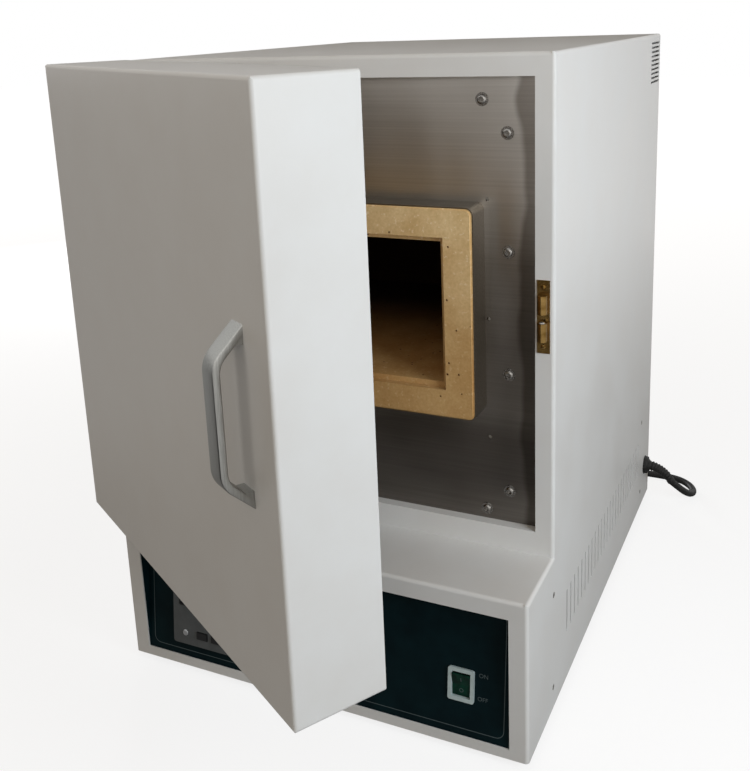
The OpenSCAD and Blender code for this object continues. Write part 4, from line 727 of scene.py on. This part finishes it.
# The handle: a flat aluminium bar bent into a bow, satin anodised, with rounded edges and a
# thickened foot at each end that is screwed on from inside the door.
satin_bar, tree, shader = material("satin_anodised", "#9A9A97", 0.34, 1.0)
brushed = noise_of(tree, 0.7, 2, stretch=(1, 1, 0.04))
drawn_grain = bumped(tree, (brushed, "Fac"), 0.02, strength=0.6)
tree.links.new(drawn_grain.outputs["Normal"], shader.inputs["Normal"])
mottled(tree, shader, brushed, ("#94938F", "#A9A9A5"), (0.3, 0.7))
varied(tree, shader, brushed, 0.32, 0.46)

bar_wide, bar_thick = 0.017, 0.006
bow_foot, bow_top, bow_out, bow_round = 0.136, 0.090, 0.0245, 0.022
leg_rise = (bow_foot - bow_top) / 2
leg_angle = math.atan2(bow_out, leg_rise)
leg = Vector((0, -math.sin(leg_angle), -math.cos(leg_angle)))       # from the foot out along the upper leg
corner_z = bow_top / 2 - bow_round * math.tan(leg_angle / 2)
bend = Vector((0, -(bow_out - bow_round), corner_z))


def swept(form, ring, vec=None, **turn):
    """Carries an open ring of edges along a straight way or round a bend, and gives its last place."""
    if vec:
        made = bmesh.ops.extrude_edge_only(form, edges=ring)["geom"]
        bmesh.ops.translate(form, verts=verts_in(made), vec=vec)
    else:
        verts = list({v for e in ring for v in e.verts})
        made = bmesh.ops.spin(form, geom=ring + verts, **turn)["geom_last"]
    return [g for g in made if isinstance(g, bmesh.types.BMEdge)]


form = bmesh.new()
face = plate(form, bar_wide, bar_thick, 0.0009, 3)
ring = list(face.edges)
bmesh.ops.delete(form, geom=[face], context="FACES_ONLY")
bmesh.ops.translate(form, verts=form.verts, vec=(0, -(bow_out - bar_thick / 2), 0))
ring = swept(form, ring, vec=(0, 0, bend.z))
ring = swept(form, ring, cent=bend, axis=(-1, 0, 0), angle=leg_angle, steps=10, use_duplicate=False)
leg_run = 0.04                                      # past the door's face, where the legs are cut off
swept(form, ring, vec=-leg_run * leg)
everything = list(form.verts) + list(form.edges) + list(form.faces)
bmesh.ops.bisect_plane(form, geom=everything, plane_co=(0, 0, 0), plane_no=(0, 1, 0), clear_outer=True,
                       dist=1e-7)
everything = list(form.verts) + list(form.edges) + list(form.faces)
bmesh.ops.mirror(form, geom=everything, matrix=Matrix(), merge_dist=1e-6, axis="Z")
bmesh.ops.holes_fill(form, edges=form.edges)
pad_deep, pad_from, pad_foot, pad_top, pad_in = 0.007, 0.054, 0.0665, 0.0598, 0.0002
for side in (-1, 1):
    corners = [form.verts.new((-bar_wide / 2 + pad_in, -u, side * v)) for u, v in (
        (0, pad_from), (0, pad_foot), (pad_deep, pad_top), (pad_deep, pad_from))]
    pad = form.faces.new(corners)
    far = bmesh.ops.extrude_face_region(form, geom=[pad])["geom"]
    bmesh.ops.translate(form, verts=verts_in(far), vec=(bar_wide - 2 * pad_in, 0, 0))
hinge_line, door_ajar = Vector((-0.2295, -0.2045, 0)), math.radians(-30.75)
handle_place = (0.173, -0.284, 0.401)               # on the door's face while it is shut
ajar = Matrix.Translation(hinge_line) @ Matrix.Rotation(door_ajar, 4, "Z") @ Matrix.Translation(-hinge_line)
bmesh.ops.transform(form, verts=form.verts, matrix=ajar @ Matrix.Translation(handle_place))
handle = finished(form, "bow_handle", satin_bar, "door")
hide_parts("door_handle")

# The studio: a floor and backdrop that look white, a pale room, a soft window lamp at the right,
# two weaker ones in front, of which one is for the door's face, and one behind for the far sides.
def seen(tree):
    """One for rays from the camera and those mirrored or let through, zero for soft light."""
    rays = add(tree, "ShaderNodeLightPath")
    shiny = add(tree, "ShaderNodeMath", {0: (rays, "Is Camera Ray"), 1: (rays, "Is Glossy Ray")},
                operation="MAXIMUM")
    return add(tree, "ShaderNodeMath", {0: (shiny, "Value"), 1: (rays, "Is Transmission Ray")},
               operation="MAXIMUM")


floor_mesh = bpy.data.meshes.new("floor")
form = bmesh.new()
floor_half = 9
bmesh.ops.create_grid(form, x_segments=1, y_segments=1, size=floor_half)
form.to_mesh(floor_mesh)
form.free()
floor = stand("floor", floor_mesh)
floor_white, tree, shader = material("floor_white", "#828282", 0.9, Specular_IOR_Level=0.0)
away = add(tree, "ShaderNodeVectorMath", {0: (add(tree, "ShaderNodeTexCoord"), "Object")}, operation="LENGTH")
far = ranged(tree, (away, "Value"), 0.5, 3.0, 0.80, 0.97)
# For mirrored rays the floor near the furnace is painted dark: a painted shade under the open door, seen only
# in reflections.
shaded = ranged(tree, (away, "Value"), 0.6, 2.2, 0.14, 0.97)
mirrored = add(tree, "ShaderNodeMix", {0: (add(tree, "ShaderNodeLightPath"), "Is Glossy Ray"),
                                       2: (far, "Result"), 3: (shaded, "Result")}, data_type="FLOAT")
glow = add(tree, "ShaderNodeMath", {0: (seen(tree), "Value"), 1: (mirrored, 0)}, operation="MULTIPLY")
shader.inputs["Emission Color"].default_value = (1, 1, 1, 1)
tree.links.new(glow.outputs["Value"], shader.inputs["Emission Strength"])
floor_mesh.materials.append(floor_white)

# Four cards that only glossy faces mirror: black in front of the furnace and behind it, grey at its
# left, and the bright pane of the window at its right. They throw no light or shade on it.
for name, place, width, height, turn, glow in (("front_card", (-0.30, -0.66, 0.22), 0.86, 0.44, 0, 0.0),
                                               ("left_card", (-0.90, -0.20, 0.30), 1.20, 0.60, 90, 0.42),
                                               ("back_card", (-0.85, 1.20, 0.50), 1.90, 1.00, 0, 0.0),
                                               ("window_pane", (1.16, -0.68, 0.70), 0.60, 0.60, 59, 2.6)):
    card_paint, tree, shader = material(name, "#141414", 0.9, Specular_IOR_Level=0.0, Emission_Strength=glow)
    shader.inputs["Emission Color"].default_value = (1, 1, 1, 1)
    form = bmesh.new()
    plate(form, width, height, 0.01)
    bmesh.ops.transform(form, verts=form.verts, matrix=Matrix.Translation(place) @ Matrix.Rotation(
        math.radians(turn), 4, "Z") @ upright_face)
    card_mesh = bpy.data.meshes.new(name)
    form.to_mesh(card_mesh)
    form.free()
    card_mesh.materials.append(card_paint)
    card = stand(name, card_mesh)
    card.visible_camera = card.visible_diffuse = card.visible_transmission = card.visible_shadow = False

world = bpy.data.worlds.new("room")
bpy.context.scene.world = world
world.use_nodes = True
tree = world.node_tree
room_light, room_tint = 0.325, "#FFF0DE"
shown = seen(tree)
tint = add(tree, "ShaderNodeMix", {0: (shown, "Value"), 6: linear(room_tint), 7: (1, 1, 1, 1)},
           data_type="RGBA")
power = ranged(tree, (shown, "Value"), 0.0, 1.0, room_light, 1.0)
tree.links.new(tint.outputs[2], tree.nodes["Background"].inputs["Color"])
tree.links.new(power.outputs["Result"], tree.nodes["Background"].inputs["Strength"])

for name, place, aim, size, watts, colour in (
        ("window", (1.16, -0.68, 0.70), (0.20, -0.10, 0.40), 0.60, 10.3, (0.86, 0.93, 1.0)),
        ("front_lamp", (0.75, -1.75, 1.00), (0.10, -0.20, 0.40), 0.7, 2.7, (1.0, 0.97, 0.93)),
        ("door_lamp", (-0.62, -1.45, 1.15), (0.00, -0.38, 0.50), 0.4, 1.75, (1.0, 0.955, 0.90)),
        ("rear_lamp", (-1.50, 1.70, 0.34), (-0.10, 0.20, 0.32), 0.55, 22, (0.97, 0.985, 1.0))):
    lamp_data = bpy.data.lights.new(name, "AREA")
    lamp_data.size = size
    lamp_data.energy = watts
    lamp_data.color = colour
    lamp = stand(name, lamp_data)
    lamp.matrix_world = facing(Vector(place) - Vector(aim), place)
    lamp.visible_camera = False
    lamp.visible_glossy = name != "window"

bpy.context.scene.view_settings.view_transform = "Standard"
